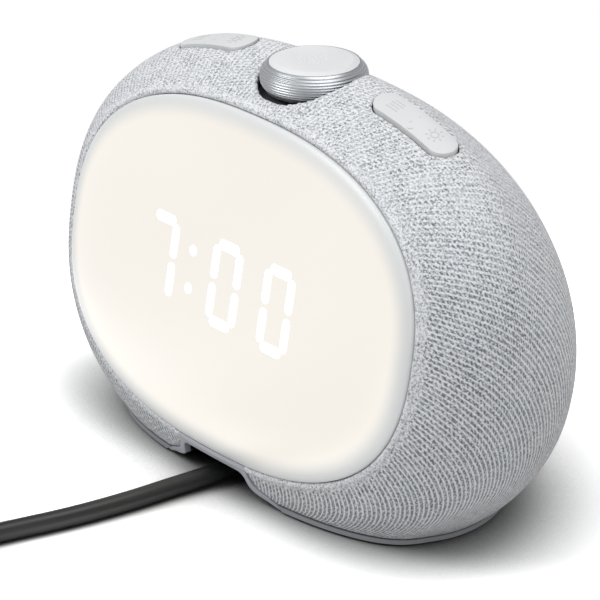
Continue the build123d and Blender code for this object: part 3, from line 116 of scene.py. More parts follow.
def grained(name, colour, roughness, grain_mm, depth_mm, mottle=0.04, **sockets):
    """Finish with a fine moulded or cast grain of a real size, and a slight change of tone."""
    material, tree, shader = finish(name, colour, roughness, **sockets)
    place = add_node(tree, "ShaderNodeTexCoord").outputs["Object"]
    grain = add_node(tree, "ShaderNodeTexNoise", None,
                     {"Vector": place, "Scale": 1 / (grain_mm * MM), "Detail": 3.0})
    bump = add_node(tree, "ShaderNodeBump", None,
                    {"Height": grain.outputs["Fac"], "Strength": GRAIN_STRENGTH,
                     "Distance": depth_mm * MM})
    tree.links.new(bump.outputs["Normal"], shader.inputs["Normal"])
    cloud = add_node(tree, "ShaderNodeTexNoise", None,
                     {"Vector": place, "Scale": 1 / (PATCH_OF_TONE_MM * MM), "Detail": 4.0})
    ramp = add_node(tree, "ShaderNodeMapRange", None,
                    {"Value": cloud.outputs["Fac"], **NOISE_SPAN, "To Min": 1 - mottle,
                     "To Max": 1 + mottle})
    tint = add_node(tree, "ShaderNodeVectorMath", {"operation": "SCALE"},
                    {0: linear(colour)[:3], "Scale": ramp.outputs["Result"]})
    tree.links.new(tint.outputs["Vector"], shader.inputs["Base Color"])
    worn = add_node(tree, "ShaderNodeMapRange", None,
                    {"Value": cloud.outputs["Fac"], **NOISE_SPAN, "To Min": roughness * SMOOTHER,
                     "To Max": min(roughness * ROUGHER, 1.0)})
    tree.links.new(worn.outputs["Result"], shader.inputs["Roughness"])
    return material


def dress(material, *names):
    """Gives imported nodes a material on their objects."""
    for name in names:
        obj = NODES[name]
        if not obj.material_slots:
            obj.data.materials.append(material)
        for slot in obj.material_slots:
            slot.link = "OBJECT"
            slot.material = material


def soften(width_mm, *names):
    """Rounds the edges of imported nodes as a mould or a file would."""
    for name in names:
        obj = NODES[name]
        weld = obj.modifiers.new("weld", "WELD")
        weld.merge_threshold = WELD_MM * MM
        bevel = obj.modifiers.new("edge", "BEVEL")
        bevel.width = width_mm * MM
        bevel.segments = EDGE_STEPS
        bevel.limit_method = "ANGLE"
        bevel.angle_limit = EDGE_FROM
        bevel.harden_normals = True


def finished_piece(name, bm, body, material, stands_for=(), sharp=30):
    """Turns a bmesh into a piece that rides on a body."""
    bmesh.ops.recalc_face_normals(bm, faces=bm.faces)
    mesh = bpy.data.meshes.new(name)
    bm.to_mesh(mesh)
    bm.free()
    mesh.materials.append(material)
    mesh.shade_smooth()
    mesh.set_sharp_from_angle(angle=math.radians(sharp))
    obj = bpy.data.objects.new(name, mesh)
    bpy.context.scene.collection.objects.link(obj)
    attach(obj, body)
    if stands_for:
        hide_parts(*stands_for)
    return obj


def turned(bm, profile, centre, steps, closed=False):
    """Surface of revolution about an upright axis, from (radius, height) points in mm."""
    rings = []
    for radius, height in profile:
        if radius < ON_AXIS_MM:
            rings.append([bm.verts.new((centre[0], centre[1], height * MM))])
            continue
        ring = []
        for step in range(steps):
            angle = 2 * math.pi * step / steps
            ring.append(bm.verts.new((centre[0] + radius * MM * math.cos(angle),
                                      centre[1] + radius * MM * math.sin(angle), height * MM)))
        rings.append(ring)
    pairs = list(zip(rings, rings[1:]))
    if closed:
        pairs.append((rings[-1], rings[0]))
    for low, high in pairs:
        for step in range(steps):
            after = (step + 1) % steps
            corners = [low[step % len(low)], low[after % len(low)],
                       high[after % len(high)], high[step % len(high)]]
            corners = list(dict.fromkeys(corners))
            if len(corners) > 2:
                bm.faces.new(corners)


def bridge(bm, low, high):
    """Band of faces between two closed rings of as many points."""
    for step in range(len(low)):
        after = (step + 1) % len(low)
        bm.faces.new((low[step], low[after], high[after], high[step]))


def face_outline(inset):
    """Outline of the lit face in its own plane, in mm, an inset in from its edge."""
    half_width, half_height = FACE_WIDTH_MM / 2 - inset, FACE_HEIGHT_MM / 2 - inset
    points = []
    for step in range(FACE_POINTS):
        angle = 2 * math.pi * step / FACE_POINTS
        c, s = math.cos(angle), math.sin(angle)
        points.append((half_width * math.copysign(abs(c) ** (2 / FACE_ROUND), c),
                       half_height * math.copysign(abs(s) ** (2 / FACE_ROUND), s)))
    return points


def on_face(x, y, ahead):
    """Point in the row frame of a place in the face plane, in mm."""
    return FACE_CENTRE + Vector((x * MM, 0, 0)) + FACE_UP * (y * MM) + FACE_OUT * (ahead * MM)


# -------------------------------- settings
class ClockFabricSettings(bpy.types.PropertyGroup):
    ribs: IntProperty(name="Ribs", description="Knitted ribs round the sleeve, an even number", default=284)
    stitch_mm: FloatProperty(name="Stitch length", description="Length of one stitch in mm", default=1.05)
    cloth_mm: FloatProperty(name="Cloth detail", description="Size of one face of the sleeve in mm",
                            default=0.8)
    light_yarn: FloatVectorProperty(name="Light yarn", description="Colour of the light yarn",
                                    subtype="COLOR", size=3, default=linear("#D9DBDE")[:3])
    # The dark yarn's colour is also the painted shade in the gaps between the stitches.
    dark_yarn_and_gap_shade: FloatVectorProperty(name="Dark yarn", description="Colour between the stitches",
                                   subtype="COLOR", size=3, default=linear("#696D73")[:3])


class ClockFaceSettings(bpy.types.PropertyGroup):
    glow: FloatProperty(name="Glow", description="Strength of the light through the diffuser", default=0.73)
    glow_colour: FloatVectorProperty(name="Glow colour", description="Warm white of the lit diffuser",
                                     subtype="COLOR", size=3, default=linear("#FDF8EF")[:3])
    edge_mm: FloatProperty(name="Unlit edge", description="Width of the unlit edge in mm", default=7.0)


class ClockDialSettings(bpy.types.PropertyGroup):
    ridges: IntProperty(name="Ridges", description="Grip ridges round the dial", default=9)
    ridge_depth: FloatProperty(name="Ridge depth", description="Depth of each ridge in mm", default=0.26)
    dot_rings: IntProperty(name="Dot rings", description="Rings of raised dots on the cap", default=4)


class ClockCordSettings(bpy.types.PropertyGroup):
    diameter: FloatProperty(name="Diameter", description="Diameter of the mains lead",
                            default=0.006, unit="LENGTH")
    length: FloatProperty(name="Length", description="Length of the mains lead", default=1.44, unit="LENGTH")


# -------------------------------- camera and stage
CAMERA_AZIMUTH = math.radians(51.01)
CAMERA_ELEVATION = math.radians(23.26)
CAMERA_DISTANCE = 1102.1 * MM
CAMERA_ASIDE = 17.892 * MM
CAMERA_RAISED = -14.510 * MM
CAMERA_TARGET = Vector((0, FACE_Y + 1.86 * MM, 74.05 * MM))
CAMERA_REACH_M = 20.0
SENSOR_MM = 36.0
FOCAL_PX, IMAGE_PX = 3727, 600  # focal length and width of the image, in its pixels

FLOOR_MM = 6000.0  # reach of the floor from its middle
OPEN_FROM_MM, OPEN_TO_MM = 150.0, 250.0  # from the face, where the floor turns to plain white
CONTACT_MM = 60.0  # reach of the contact shadow
CONTACT_SAMPLES, CONTACT_POWER, CONTACT_GAIN = 8, 1.5, 1.9
BOUNCE_GREY = 0.6  # of the floor, in the light that it throws back
WORLD_LIGHT, WORLD_WHITE = 0.5, 1.0  # the world's strength on the clock, and as the camera sees it
LAMP_AIM_M = (0, 0, 0.06)
# Each lamp: its name, place and diameter in metres, and power in watts.
LAMPS = (
    ("key_lamp", (-0.6, -1.0, 1.1), 0.9, 11.0),
    ("top_lamp", (0.25, 0.15, 1.6), 1.2, 12.0),
    ("side_lamp", (1.5, -0.35, 0.7), 0.7, 4.0),
)


def studio_board():
    """Matt white painted board: it keeps the object's shadow, adds a painted contact shadow near it, and in
    the open it is plain white.
    """
    material = bpy.data.materials.new("matt_studio_board")
    material.use_nodes = True
    tree = material.node_tree
    tree.nodes.clear()
    path = add_node(tree, "ShaderNodeLightPath").outputs
    mirrored = add_node(tree, "ShaderNodeMath", {"operation": "MAXIMUM"},
                        {0: path["Is Glossy Ray"], 1: path["Is Transmission Ray"]}).outputs[0]
    seen = add_node(tree, "ShaderNodeMath", {"operation": "MAXIMUM"},
                    {0: path["Is Camera Ray"], 1: mirrored}).outputs[0]
    # Painted contact shadow: near the object the board's colour darkens with ambient occlusion, as under a
    # large soft box.
    contact = add_node(tree, "ShaderNodeAmbientOcclusion", {"samples": CONTACT_SAMPLES},
                       {"Distance": CONTACT_MM * MM}).outputs["AO"]
    painted_shade_curve = add_node(tree, "ShaderNodeMath", {"operation": "POWER"}, {0: contact, 1: CONTACT_POWER}).outputs[0]
    near = add_node(tree, "ShaderNodeMath", MULTIPLY, {0: painted_shade_curve, 1: CONTACT_GAIN}).outputs[0]
    board_paint_and_shade = add_node(tree, "ShaderNodeMix", {"data_type": "RGBA"},
                     {0: seen, 6: (BOUNCE_GREY, BOUNCE_GREY, BOUNCE_GREY, 1), 7: near})
    board = add_node(tree, "ShaderNodeBsdfDiffuse", None, {"Color": board_paint_and_shade.outputs[2]})
    white = add_node(tree, "ShaderNodeEmission", None, {"Color": (1, 1, 1, 1), "Strength": 1.0})
    place = add_node(tree, "ShaderNodeTexCoord").outputs["Object"]
    reach = add_node(tree, "ShaderNodeVectorMath", {"operation": "DISTANCE"},
                     {0: place, 1: (0, FACE_Y, 0)}).outputs["Value"]
    open_floor = add_node(tree, "ShaderNodeMapRange", {"interpolation_type": "SMOOTHSTEP"},
                          {"Value": reach, "From Min": OPEN_FROM_MM * MM, "From Max": OPEN_TO_MM * MM})
    lit = add_node(tree, "ShaderNodeMath", MULTIPLY, {0: seen, 1: open_floor.outputs[0]})
    mix = add_node(tree, "ShaderNodeMixShader", None,
                   {0: lit.outputs[0], 1: board.outputs[0], 2: white.outputs[0]})
    add_node(tree, "ShaderNodeOutputMaterial", None, {"Surface": mix.outputs[0]})
    return material


class CLOCK_OT_stage(bpy.types.Operator):
    """Sets up the camera, the lamps and a pale floor"""
    bl_idname = "clock.stage"
    bl_label = "Stage"

    def execute(self, context):
        scene = context.scene
        sin_a, cos_a = math.sin(CAMERA_AZIMUTH), math.cos(CAMERA_AZIMUTH)
        sin_e, cos_e = math.sin(CAMERA_ELEVATION), math.cos(CAMERA_ELEVATION)
        back = Vector((sin_a * cos_e, -cos_a * cos_e, sin_e))
        right = Vector((cos_a, sin_a, 0))
        up = Vector((-sin_a * sin_e, cos_a * sin_e, cos_e))
        place = CAMERA_TARGET + back * CAMERA_DISTANCE + right * CAMERA_ASIDE + up * CAMERA_RAISED
        camera = bpy.data.objects.new("camera", bpy.data.cameras.new("camera"))
        camera.data.sensor_width = SENSOR_MM
        camera.data.lens = SENSOR_MM * (FOCAL_PX / IMAGE_PX)
        camera.data.clip_end = CAMERA_REACH_M
        axes = Matrix((right, up, back)).transposed().to_4x4()
        camera.matrix_world = Matrix.Translation(place) @ axes
        scene.collection.objects.link(camera)
        scene.camera = camera
        scene.view_settings.view_transform = "Standard"

        floor_mesh = bpy.data.meshes.new("floor")
        bm = bmesh.new()
        bmesh.ops.create_grid(bm, x_segments=2, y_segments=2, size=FLOOR_MM * MM)
        bm.to_mesh(floor_mesh)
        bm.free()
        floor = bpy.data.objects.new("floor", floor_mesh)
        floor_mesh.materials.append(studio_board())
        scene.collection.objects.link(floor)

        world = bpy.data.worlds.new("studio")
        scene.world = world
        world.use_nodes = True
        tree = world.node_tree
        tree.nodes.clear()
        seen = add_node(tree, "ShaderNodeLightPath")
        soft, white = (add_node(tree, "ShaderNodeBackground", None,
                                {"Color": linear("#FFFFFF"), "Strength": strength})
                       for strength in (WORLD_LIGHT, WORLD_WHITE))
        mix = add_node(tree, "ShaderNodeMixShader", None,
                       {0: seen.outputs["Is Camera Ray"], 1: soft.outputs[0], 2: white.outputs[0]})
        add_node(tree, "ShaderNodeOutputWorld", None, {"Surface": mix.outputs[0]})

        for name, where, size, power in LAMPS:
            data = bpy.data.lights.new(name, "AREA")
            data.shape = "DISK"
            data.size = size
            data.energy = power
            lamp = bpy.data.objects.new(name, data)
            lamp.location = where
            aim = Vector(LAMP_AIM_M) - Vector(where)
            lamp.rotation_euler = aim.to_track_quat("-Z", "Y").to_euler()
            scene.collection.objects.link(lamp)
        return {"FINISHED"}


# -------------------------------- mains lead
# The lead's route along the floor, in mm, from the gland to the coil.
ROUTE_MM = (
    (0.0, -14.82, 5.2), (0.0, -33.0, 5.2), (-0.9, -46.5, 3.4), (-2.4, -61.0, 3.05),
    (-2.9, -78.0, 3.05), (-5.2, -98.0, 3.05), (-9.4, -117.0, 3.05), (-12.6, -133.5, 3.05),
)
COIL_CENTRE_MM = (-50.0, -152.0)
COIL_MIDDLE_MM = 33.0  # radius of the middle lane
# Lane and level of each turn of the coil, and last of the tail that leaves it.
COIL_LANES = ((1, 0), (0, 0), (-1, 0), (-1, 1), (0, 1), (1, 1), (0.85, 2))
COIL_TURNS = len(COIL_LANES) - 1
TURN_SPACING_MM = 6.2
COIL_FLOOR_MM = 3.7  # height of the lead's middle in the lowest turns
POINTS_PER_TURN = 16
COIL_START_DEG = 10.0
RAMP_FROM, RAMP_TO = 0.75, 0.92  # share of a turn over which the lead moves to the next lane
CORD_ROUNDNESS, CORD_STEPS, CORD_ORDER = 6, 6, 3
# The last stretch, over the coil and into the plug.
TAIL_MM = (
    (-10.6, -157.9, 16.3), (-14.9, -169.4, 17.2), (-23.2, -178.6, 18.7), (-36.0, -184.0, 19.8),
    (-42.0, -184.0, 19.8),
)


def coil_points():
    """Six turns in two layers of three, clockwise, up to the tail that lies over them."""
    def ramp(share):
        share = min(max((share - RAMP_FROM) / (RAMP_TO - RAMP_FROM), 0), 1)
        return share * share * (3 - 2 * share)

    # The curve runs inside its control points, so they stand a little further out.
    widen = 1 / math.cos(math.pi / POINTS_PER_TURN)
    points = []
    for step in range(COIL_TURNS * POINTS_PER_TURN + 1):
        turn, share = divmod(step / POINTS_PER_TURN, 1)
        lane, level = COIL_LANES[int(turn)]
        if turn < COIL_TURNS:
            next_lane, next_level = COIL_LANES[int(turn) + 1]
            lane += (next_lane - lane) * ramp(share)
            level += (next_level - level) * ramp(share)
        radius = (COIL_MIDDLE_MM + lane * TURN_SPACING_MM) * widen
        angle = math.radians(COIL_START_DEG) - 2 * math.pi * step / POINTS_PER_TURN
        points.append((COIL_CENTRE_MM[0] + radius * math.cos(angle),
                       COIL_CENTRE_MM[1] + radius * math.sin(angle),
                       COIL_FLOOR_MM + level * TURN_SPACING_MM))
    return points


class CLOCK_OT_mains_lead(bpy.types.Operator):
    """Lays the mains lead, its coil, its tie and its plug"""
    bl_idname = "clock.mains_lead"
    bl_label = "Mains lead"

    def execute(self, context):
        settings = context.scene.clock_cord
        # Flexible PVC mains lead: extruded, so it is smooth, near black and softly shiny.
        black = grained("extruded_pvc", "#08090A", 0.4, 1.2, 0.02, Specular_IOR_Level=0.5)
        points = [*ROUTE_MM, *coil_points(), *TAIL_MM]
        curve = bpy.data.curves.new("mains_cable", "CURVE")
        curve.dimensions = "3D"
        curve.bevel_depth = settings.diameter / 2
        curve.bevel_resolution = CORD_ROUNDNESS
        curve.resolution_u = CORD_STEPS
        curve.use_fill_caps = True
        spline = curve.splines.new("NURBS")
        spline.points.add(len(points) - 1)
        for point, (x, y, z) in zip(spline.points, points):
            point.co = (x * MM, y * MM, z * MM, 1)
        spline.order_u = CORD_ORDER
        spline.use_endpoint_u = True
        curve.materials.append(black)
        cable = bpy.data.objects.new("mains_cable", curve)
        context.scene.collection.objects.link(cable)
        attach(cable, "clock")
        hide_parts("mains_lead", "lead_coil")
        dress(black, "cord_gland")
        # Moulded PVC plug: a little greyer and duller than the lead, with a fine grain.
        dress(grained("moulded_pvc_plug", "#26292B", 0.5, 0.5, 0.03), "plug_body")
        soften(0.6, "plug_body")
        # Nickel-plated brass pins: turned and polished, so they mirror the room in a warm grey.
        dress(grained("nickel_plated_brass", "#C9C4B8", 0.22, 0.4, 0.004, Metallic=1.0), "plug_pins")
        # Nylon hook tape: woven, so it is dull with a faint nap.
        dress(grained("nylon_tie", "#1C1E20", 0.85, 0.35, 0.06), "cord_tie")
        return {"FINISHED"}


# -------------------------------- fabric sleeve
HINGE_Y, HINGE_Z = -54.0 * MM, -10.0 * MM  # the ribs fan out from below the front edge
FACE_ANGLE = 1.38  # of the lit face about that line
LOOP_BASE, LOOP_FACE = 25.0 * MM, 75.0 * MM  # middle of the sleeve's loops, at base and face
LOOP_HEIGHT, LOOP_WIDTH = 60.0 * MM, 80.0 * MM
WAVE = 2 * math.pi / 20  # wave texture scale that gives one band for each unit
HEM_MM = 2.0  # plain hem round the diffuser
RIM_MM = 1.5  # diffuser edge to the middle of the hem
# Section of the rolled edge: out from the diffuser's outline, and ahead of the face.
HEM_PROFILE_MM = ((0.2, -1.3), (0.2, -0.35), (0.35, 0.0), (0.7, 0.22), (1.05, 0.3), (1.5, 0.2),
                  (1.95, -0.05), (2.3, -0.5), (2.3, -1.3))
PLAIN_PART = 0.4  # of the hem's width, in which no rib shows yet
PLAIN_KNIT, FULL_KNIT = 108.0 * MM, 14.0 * MM  # heights between which the ribs gain their full relief
LEAST_RELIEF, ADDED_RELIEF = 0.26, 0.85  # strength of the ribs at the top, and what they gain below
SMOOTHING = 3  # passes over the remeshed cloth
FLECK_MM, HEATHER_PATCH_MM = 0.62, 6.0  # of single flecks, and of areas with more or fewer of them
GAP_DEPTH_MM = 0.22  # between the stitches


def heather_knit(settings):
    """Weft-knitted polyester in a grey heather: matt loops in ribs, with darker gaps of painted shade between
    them, and a painted highlight on the crests.

    The ribs run from the rim of the face round the body to the base, as a stretched tube of knit does.
    """
    material, tree, shader = finish("heather_weft_knit_painted_light", "#D5D7D9", 0.92, Sheen_Weight=0.2,
                                    Sheen_Roughness=0.6, Specular_IOR_Level=0.2)
    knit = add_node(tree, "ShaderNodeAttribute", {"attribute_name": "knit"}).outputs["Vector"]
    relief = add_node(tree, "ShaderNodeSeparateXYZ", None, {0: knit}).outputs["Z"]
    bands = {"Vector": knit, "Scale": WAVE, "Distortion": 0.9, "Detail": 2.0, "Detail Scale": 2.2}
    rib = add_node(tree, "ShaderNodeTexWave", {"bands_direction": "X"}, bands).outputs["Fac"]
    stitch = add_node(tree, "ShaderNodeTexWave", {"bands_direction": "Y"}, bands).outputs["Fac"]
    groove = add_node(tree, "ShaderNodeMapRange", None,
                      {"Value": rib, "From Min": 0.86, "From Max": 0.5, "To Min": 0.0, "To Max": 1.0})
    # Painted shade: where the ribs are full, the groove between them is dark all along; elsewhere it is a row
    # of dots.
    run = add_node(tree, "ShaderNodeMath", MULTIPLY, {0: relief, 1: 0.6}).outputs[0]
    dot = add_node(tree, "ShaderNodeMapRange", None,
                   {"Value": stitch, "From Min": 0.15, "From Max": 0.85, "To Min": run, "To Max": 1.0})
    gap = add_node(tree, "ShaderNodeMath", MULTIPLY, {0: groove.outputs[0], 1: dot.outputs[0]}).outputs[0]
    depth = add_node(tree, "ShaderNodeMath", {"operation": "MULTIPLY", "use_clamp": True},
                     {0: relief, 1: 2.0}).outputs[0]
    painted_groove_shade = add_node(tree, "ShaderNodeMath", MULTIPLY, {0: gap, 1: depth}).outputs[0]

    # Heather: yarn of mixed fibres, light and dark in short flecks.
    place = add_node(tree, "ShaderNodeTexCoord").outputs["Object"]
    fleck = add_node(tree, "ShaderNodeTexNoise", None,
                     {"Vector": place, "Scale": 1 / (FLECK_MM * MM), "Detail": 1.0, "Roughness": 0.6})
    tone = add_node(tree, "ShaderNodeMapRange", {"clamp": False},
                    {"Value": fleck.outputs["Fac"], "From Min": 0.38, "From Max": 0.66, "To Min": -0.1,
                     "To Max": 0.6}).outputs[0]
    patch = add_node(tree, "ShaderNodeTexNoise", None,
                     {"Vector": place, "Scale": 1 / (HEATHER_PATCH_MM * MM), "Detail": 3.0})
    cloud = add_node(tree, "ShaderNodeMapRange", None,
                     {"Value": patch.outputs["Fac"], **NOISE_SPAN, "To Min": 0.7,
                      "To Max": 1.3}).outputs[0]
    mottled = add_node(tree, "ShaderNodeMath", MULTIPLY, {0: tone, 1: cloud}).outputs[0]
    # Painted highlight: the crest of each full rib is kept nearly free of dark flecks, so it reads lighter.
    calm = add_node(tree, "ShaderNodeMath", {"operation": "MULTIPLY_ADD"}, {0: relief, 1: -0.65, 2: 1.0})
    painted_crest_highlight = add_node(tree, "ShaderNodeMapRange", None,
                     {"Value": rib, "From Min": 0.6, "From Max": 0.95, "To Min": 1.0,
                      "To Max": calm.outputs[0]}).outputs[0]
    flecks_and_crest_highlight = add_node(tree, "ShaderNodeMath", MULTIPLY, {0: mottled, 1: painted_crest_highlight}).outputs[0]
    # Painted shade in the grooves, laid over the heather flecks.
    dark = add_node(tree, "ShaderNodeMath", {"operation": "MULTIPLY_ADD", "use_clamp": True},
                    {0: painted_groove_shade, 1: 0.66, 2: flecks_and_crest_highlight}).outputs[0]
    yarn = add_node(tree, "ShaderNodeMix", {"data_type": "RGBA"},
                    {0: dark, 6: (*settings.light_yarn, 1), 7: (*settings.dark_yarn_and_gap_shade, 1)})
    tree.links.new(yarn.outputs[2], shader.inputs["Base Color"])
    bump = add_node(tree, "ShaderNodeBump", {"invert": True},
                    {"Height": dark, "Strength": 0.7, "Distance": GAP_DEPTH_MM * MM})
    tree.links.new(bump.outputs["Normal"], shader.inputs["Normal"])
    return material


class CLOCK_OT_fabric(bpy.types.Operator):
    """Covers the body with knitted fabric"""
    bl_idname = "clock.fabric"
    bl_label = "Fabric sleeve"

    def execute(self, context):
        settings = context.scene.clock_fabric
        cut = NODES["fabric_sleeve"].data.copy()
        cut.materials.clear()
        sleeve = bpy.data.objects.new("knit_sleeve", cut)
        context.scene.collection.objects.link(sleeve)
        even = sleeve.modifiers.new("even", "REMESH")
        even.mode = "VOXEL"
        even.voxel_size = settings.cloth_mm * MM
        even.use_smooth_shade = True
        relax = sleeve.modifiers.new("relax", "SMOOTH")
        relax.iterations = SMOOTHING
        shaped = sleeve.evaluated_get(context.evaluated_depsgraph_get())
        cloth = bpy.data.meshes.new_from_object(shaped)
        sleeve.modifiers.clear()
        sleeve.data = cloth
        cloth.materials.append(heather_knit(settings))
        self.knit_direction(cloth, settings)
        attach(sleeve, "clock")
        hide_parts("fabric_sleeve")
        self.hem(sleeve.data.materials[0])
        return {"FINISHED"}

    def hem(self, material):
        """Rolled edge of the cloth, where it turns in beside the diffuser."""
        bm = bmesh.new()
        rings = []
        for out, ahead in HEM_PROFILE_MM:
            rings.append([bm.verts.new(on_face(x, y, ahead)) for x, y in face_outline(-out)])
        for low, high in zip(rings, rings[1:] + rings[:1]):
            bridge(bm, low, high)
        finished_piece("knit_hem", bm, "clock", material, sharp=60)

    def knit_direction(self, cloth, settings):
        """Writes rib number, stitch number and strength of the ribs to the corners of the cloth."""
        places = np.empty(len(cloth.vertices) * 3)
        cloth.vertices.foreach_get("co", places)
        x, y, z = places.reshape(-1, 3).T
        back, high = y - HINGE_Y, z - HINGE_Z
        turn, reach = np.arctan2(high, back), np.hypot(back, high)
        middle = LOOP_BASE + (LOOP_FACE - LOOP_BASE) * turn / FACE_ANGLE
        angle = np.arctan2((reach - middle) / LOOP_HEIGHT, x / LOOP_WIDTH)
        along = (FACE_ANGLE - turn) * reach / (settings.stitch_mm * MM)

        # Distance from the diffuser's edge, which the plain hem follows.
        lift = ((y - FACE_CENTRE.y) * FACE_UP.y + (z - FACE_CENTRE.z) * FACE_UP.z) / MM
        depth = ((y - FACE_CENTRE.y) * FACE_OUT.y + (z - FACE_CENTRE.z) * FACE_OUT.z) / MM
        ratio = (np.abs(x / MM / (FACE_WIDTH_MM / 2)) ** FACE_ROUND
                 + np.abs(lift / (FACE_HEIGHT_MM / 2)) ** FACE_ROUND) ** (1 / FACE_ROUND)
        from_rim = np.hypot((ratio - 1) * FACE_HEIGHT_MM / 2 - RIM_MM, np.minimum(depth, 0))
        hem = np.clip(from_rim / HEM_MM - PLAIN_PART, 0, 1)
        gain = np.clip((PLAIN_KNIT - z) / (PLAIN_KNIT - FULL_KNIT), 0, 1)
        relief = hem * (LEAST_RELIEF + ADDED_RELIEF * gain)

        corner_verts = np.empty(len(cloth.loops), dtype=np.int32)
        cloth.loops.foreach_get("vertex_index", corner_verts)
        totals = np.empty(len(cloth.polygons), dtype=np.int32)
        starts = np.empty(len(cloth.polygons), dtype=np.int32)
        cloth.polygons.foreach_get("loop_total", totals)
        cloth.polygons.foreach_get("loop_start", starts)
        corner_angle = angle[corner_verts]
        first = np.repeat(corner_angle[starts], totals)
        # A face across the join of the turn counts on from its first corner.
        corner_angle += 2 * np.pi * np.round((first - corner_angle) / (2 * np.pi))
        rib = corner_angle * settings.ribs / (2 * np.pi)
        knit = np.stack((rib, along[corner_verts] + rib / 2, relief[corner_verts]), axis=1)
        layer = cloth.attributes.new("knit", "FLOAT_VECTOR", "CORNER")
        layer.data.foreach_set("vector", knit.ravel().astype(np.float32))


# -------------------------------- lit face
LENS_BACK_MM, LENS_EDGE_MM, LENS_RISE_MM = 0.9, 0.6, 4.0  # behind the face plane, and ahead of it
CROWN_RUN, CROWN_POWER, CROWN_ROOT = 0.62, 3, 1.7  # share of the half height it rises over, and its curve
EDGE_INSETS_MM = (0.0, 0.12, 0.35, 0.7, 1.2, 1.8, 2.6, 3.6)  # of the diffuser's rings near its edge
RING_STEP_MM, RING_COUNT = 1.6, 27  # of the rings within those
MIDDLE_INSETS_MM = (49.0, 50.5)
BACK_INSET_MM = 2.0
GLOW_PATCH_MM = 1000 / 9  # size of the slight changes in the glow


def lens_rise(inset):
    """How far the diffuser stands ahead of the face plane, an inset in from its edge, in mm."""
    run = min(inset / (CROWN_RUN * FACE_HEIGHT_MM / 2), 1)
    return LENS_EDGE_MM + (LENS_RISE_MM - LENS_EDGE_MM) * (1 - (1 - run) ** CROWN_POWER) ** (1 / CROWN_ROOT)


def opal_diffuser(settings):
    """Opal acrylic, injection moulded: evenly lit from behind, paler and unlit at its edge, satin outside."""
    material, tree, shader = finish("opal_acrylic", "#DADADB", 0.3, IOR=1.49,
                                    Emission_Color=(*settings.glow_colour, 1))
    inset = add_node(tree, "ShaderNodeAttribute", {"attribute_name": "inset_mm"}).outputs["Fac"]
    lit = add_node(tree, "ShaderNodeMapRange", {"interpolation_type": "SMOOTHSTEP"},
                   {"Value": inset, "From Min": 0.4, "From Max": settings.edge_mm, "To Min": 0.06})
    base = add_node(tree, "ShaderNodeMix", {"data_type": "RGBA"},
                    {0: lit.outputs[0], 6: linear("#CFD2D3"), 7: linear("#777572")})
    tree.links.new(base.outputs[2], shader.inputs["Base Color"])
    place = add_node(tree, "ShaderNodeTexCoord").outputs["Object"]
    cloud = add_node(tree, "ShaderNodeTexNoise", None,
                     {"Vector": place, "Scale": 1 / (GLOW_PATCH_MM * MM), "Detail": 1.0})
    even = add_node(tree, "ShaderNodeMapRange", None,
                    {"Value": cloud.outputs["Fac"], **NOISE_SPAN, "To Min": 0.97, "To Max": 1.02})
    glow = add_node(tree, "ShaderNodeMath", MULTIPLY, {0: lit.outputs[0], 1: even.outputs[0]})
    strength = add_node(tree, "ShaderNodeMath", MULTIPLY, {0: glow.outputs[0], 1: settings.glow})
    tree.links.new(strength.outputs[0], shader.inputs["Emission Strength"])
    return material


class CLOCK_OT_face(bpy.types.Operator):
    """Makes the domed diffuser and the lit time"""
    bl_idname = "clock.face"
    bl_label = "Lit face"

    def execute(self, context):
        settings = context.scene.clock_face
        bm = bmesh.new()
        layer = bm.verts.layers.float.new("inset_mm")
        insets = [0.0, *EDGE_INSETS_MM]     # the first ring is the back of the edge, right under the next
        insets += [EDGE_INSETS_MM[-1] + RING_STEP_MM * step for step in range(1, RING_COUNT + 1)]
        insets += MIDDLE_INSETS_MM
        rings = []
        for number, inset in enumerate(insets):
            ahead = -LENS_BACK_MM if number == 0 else lens_rise(inset)
            ring = []
            for x, y in face_outline(inset):
                vert = bm.verts.new(on_face(x, y, ahead))
                vert[layer] = inset
                ring.append(vert)
            rings.append(ring)
        for outer, inner in zip(rings, rings[1:]):
            bridge(bm, outer, inner)
        bm.faces.new(rings[-1])
        back = [bm.verts.new(on_face(x, y, -LENS_BACK_MM)) for x, y in face_outline(BACK_INSET_MM)]
        for step in range(FACE_POINTS):
            after = (step + 1) % FACE_POINTS
            bm.faces.new((rings[0][step], back[step], back[after], rings[0][after]))
        bm.faces.new(back)
        finished_piece("opal_diffuser", bm, "clock", opal_diffuser(settings),
                       ("diffuser_lens",), sharp=50)
        self.lit_time()
        return {"FINISHED"}

    def lit_time(self):
        """Rounded bars of the time, which shine whiter than the diffuser round them."""
        material = finish("lit_digit", "#FFFFFF", 0.35, Emission_Color=linear("#FFFFFF"),
                          Emission_Strength=0.9)[0]
        bm = bmesh.new()
        bars, dots = digit_layout()
        for x, y, length, upright in bars:
            stadium(bm, x, y, length, DIGIT_STROKE_MM, upright)
        for x, y in dots:
            stadium(bm, x, y, DIGIT_STROKE_MM, DIGIT_STROKE_MM, False)
        finished_piece("lit_digits", bm, "clock", material, ("digit_bars",), sharp=40)


DIGIT_HEIGHT_MM, DIGIT_WIDTH_MM, DIGIT_STROKE_MM, DIGIT_GAP_MM = 27.0, 14.0, 3.2, 5.0
BAR_ENDS_MM = 1.4  # bars stop short of the corners by half of this
# Each bar of a digit: its middle, in half widths and half heights, and whether it is upright.
BARS = {"a": (0, 1, False), "b": (1, 0.5, True), "c": (1, -0.5, True), "d": (0, -1, False),
        "e": (-1, -0.5, True), "f": (-1, 0.5, True)}
# Each digit of the time: its place from the middle, in pitches, and the bars that are lit.
SHOWN = ((-1.62, "abc"), (0.0, "abcdef"), (1.28, "abcdef"))
COLON_AT = -0.86
DIGIT_PROUD_MM, DIGIT_SUNK_MM, DIGIT_SOFT_MM = 0.12, 0.1, 0.12
DIGIT_WALL = 0.6  # share of its height at which a bar's edge turns in
DIGIT_POINTS = 32


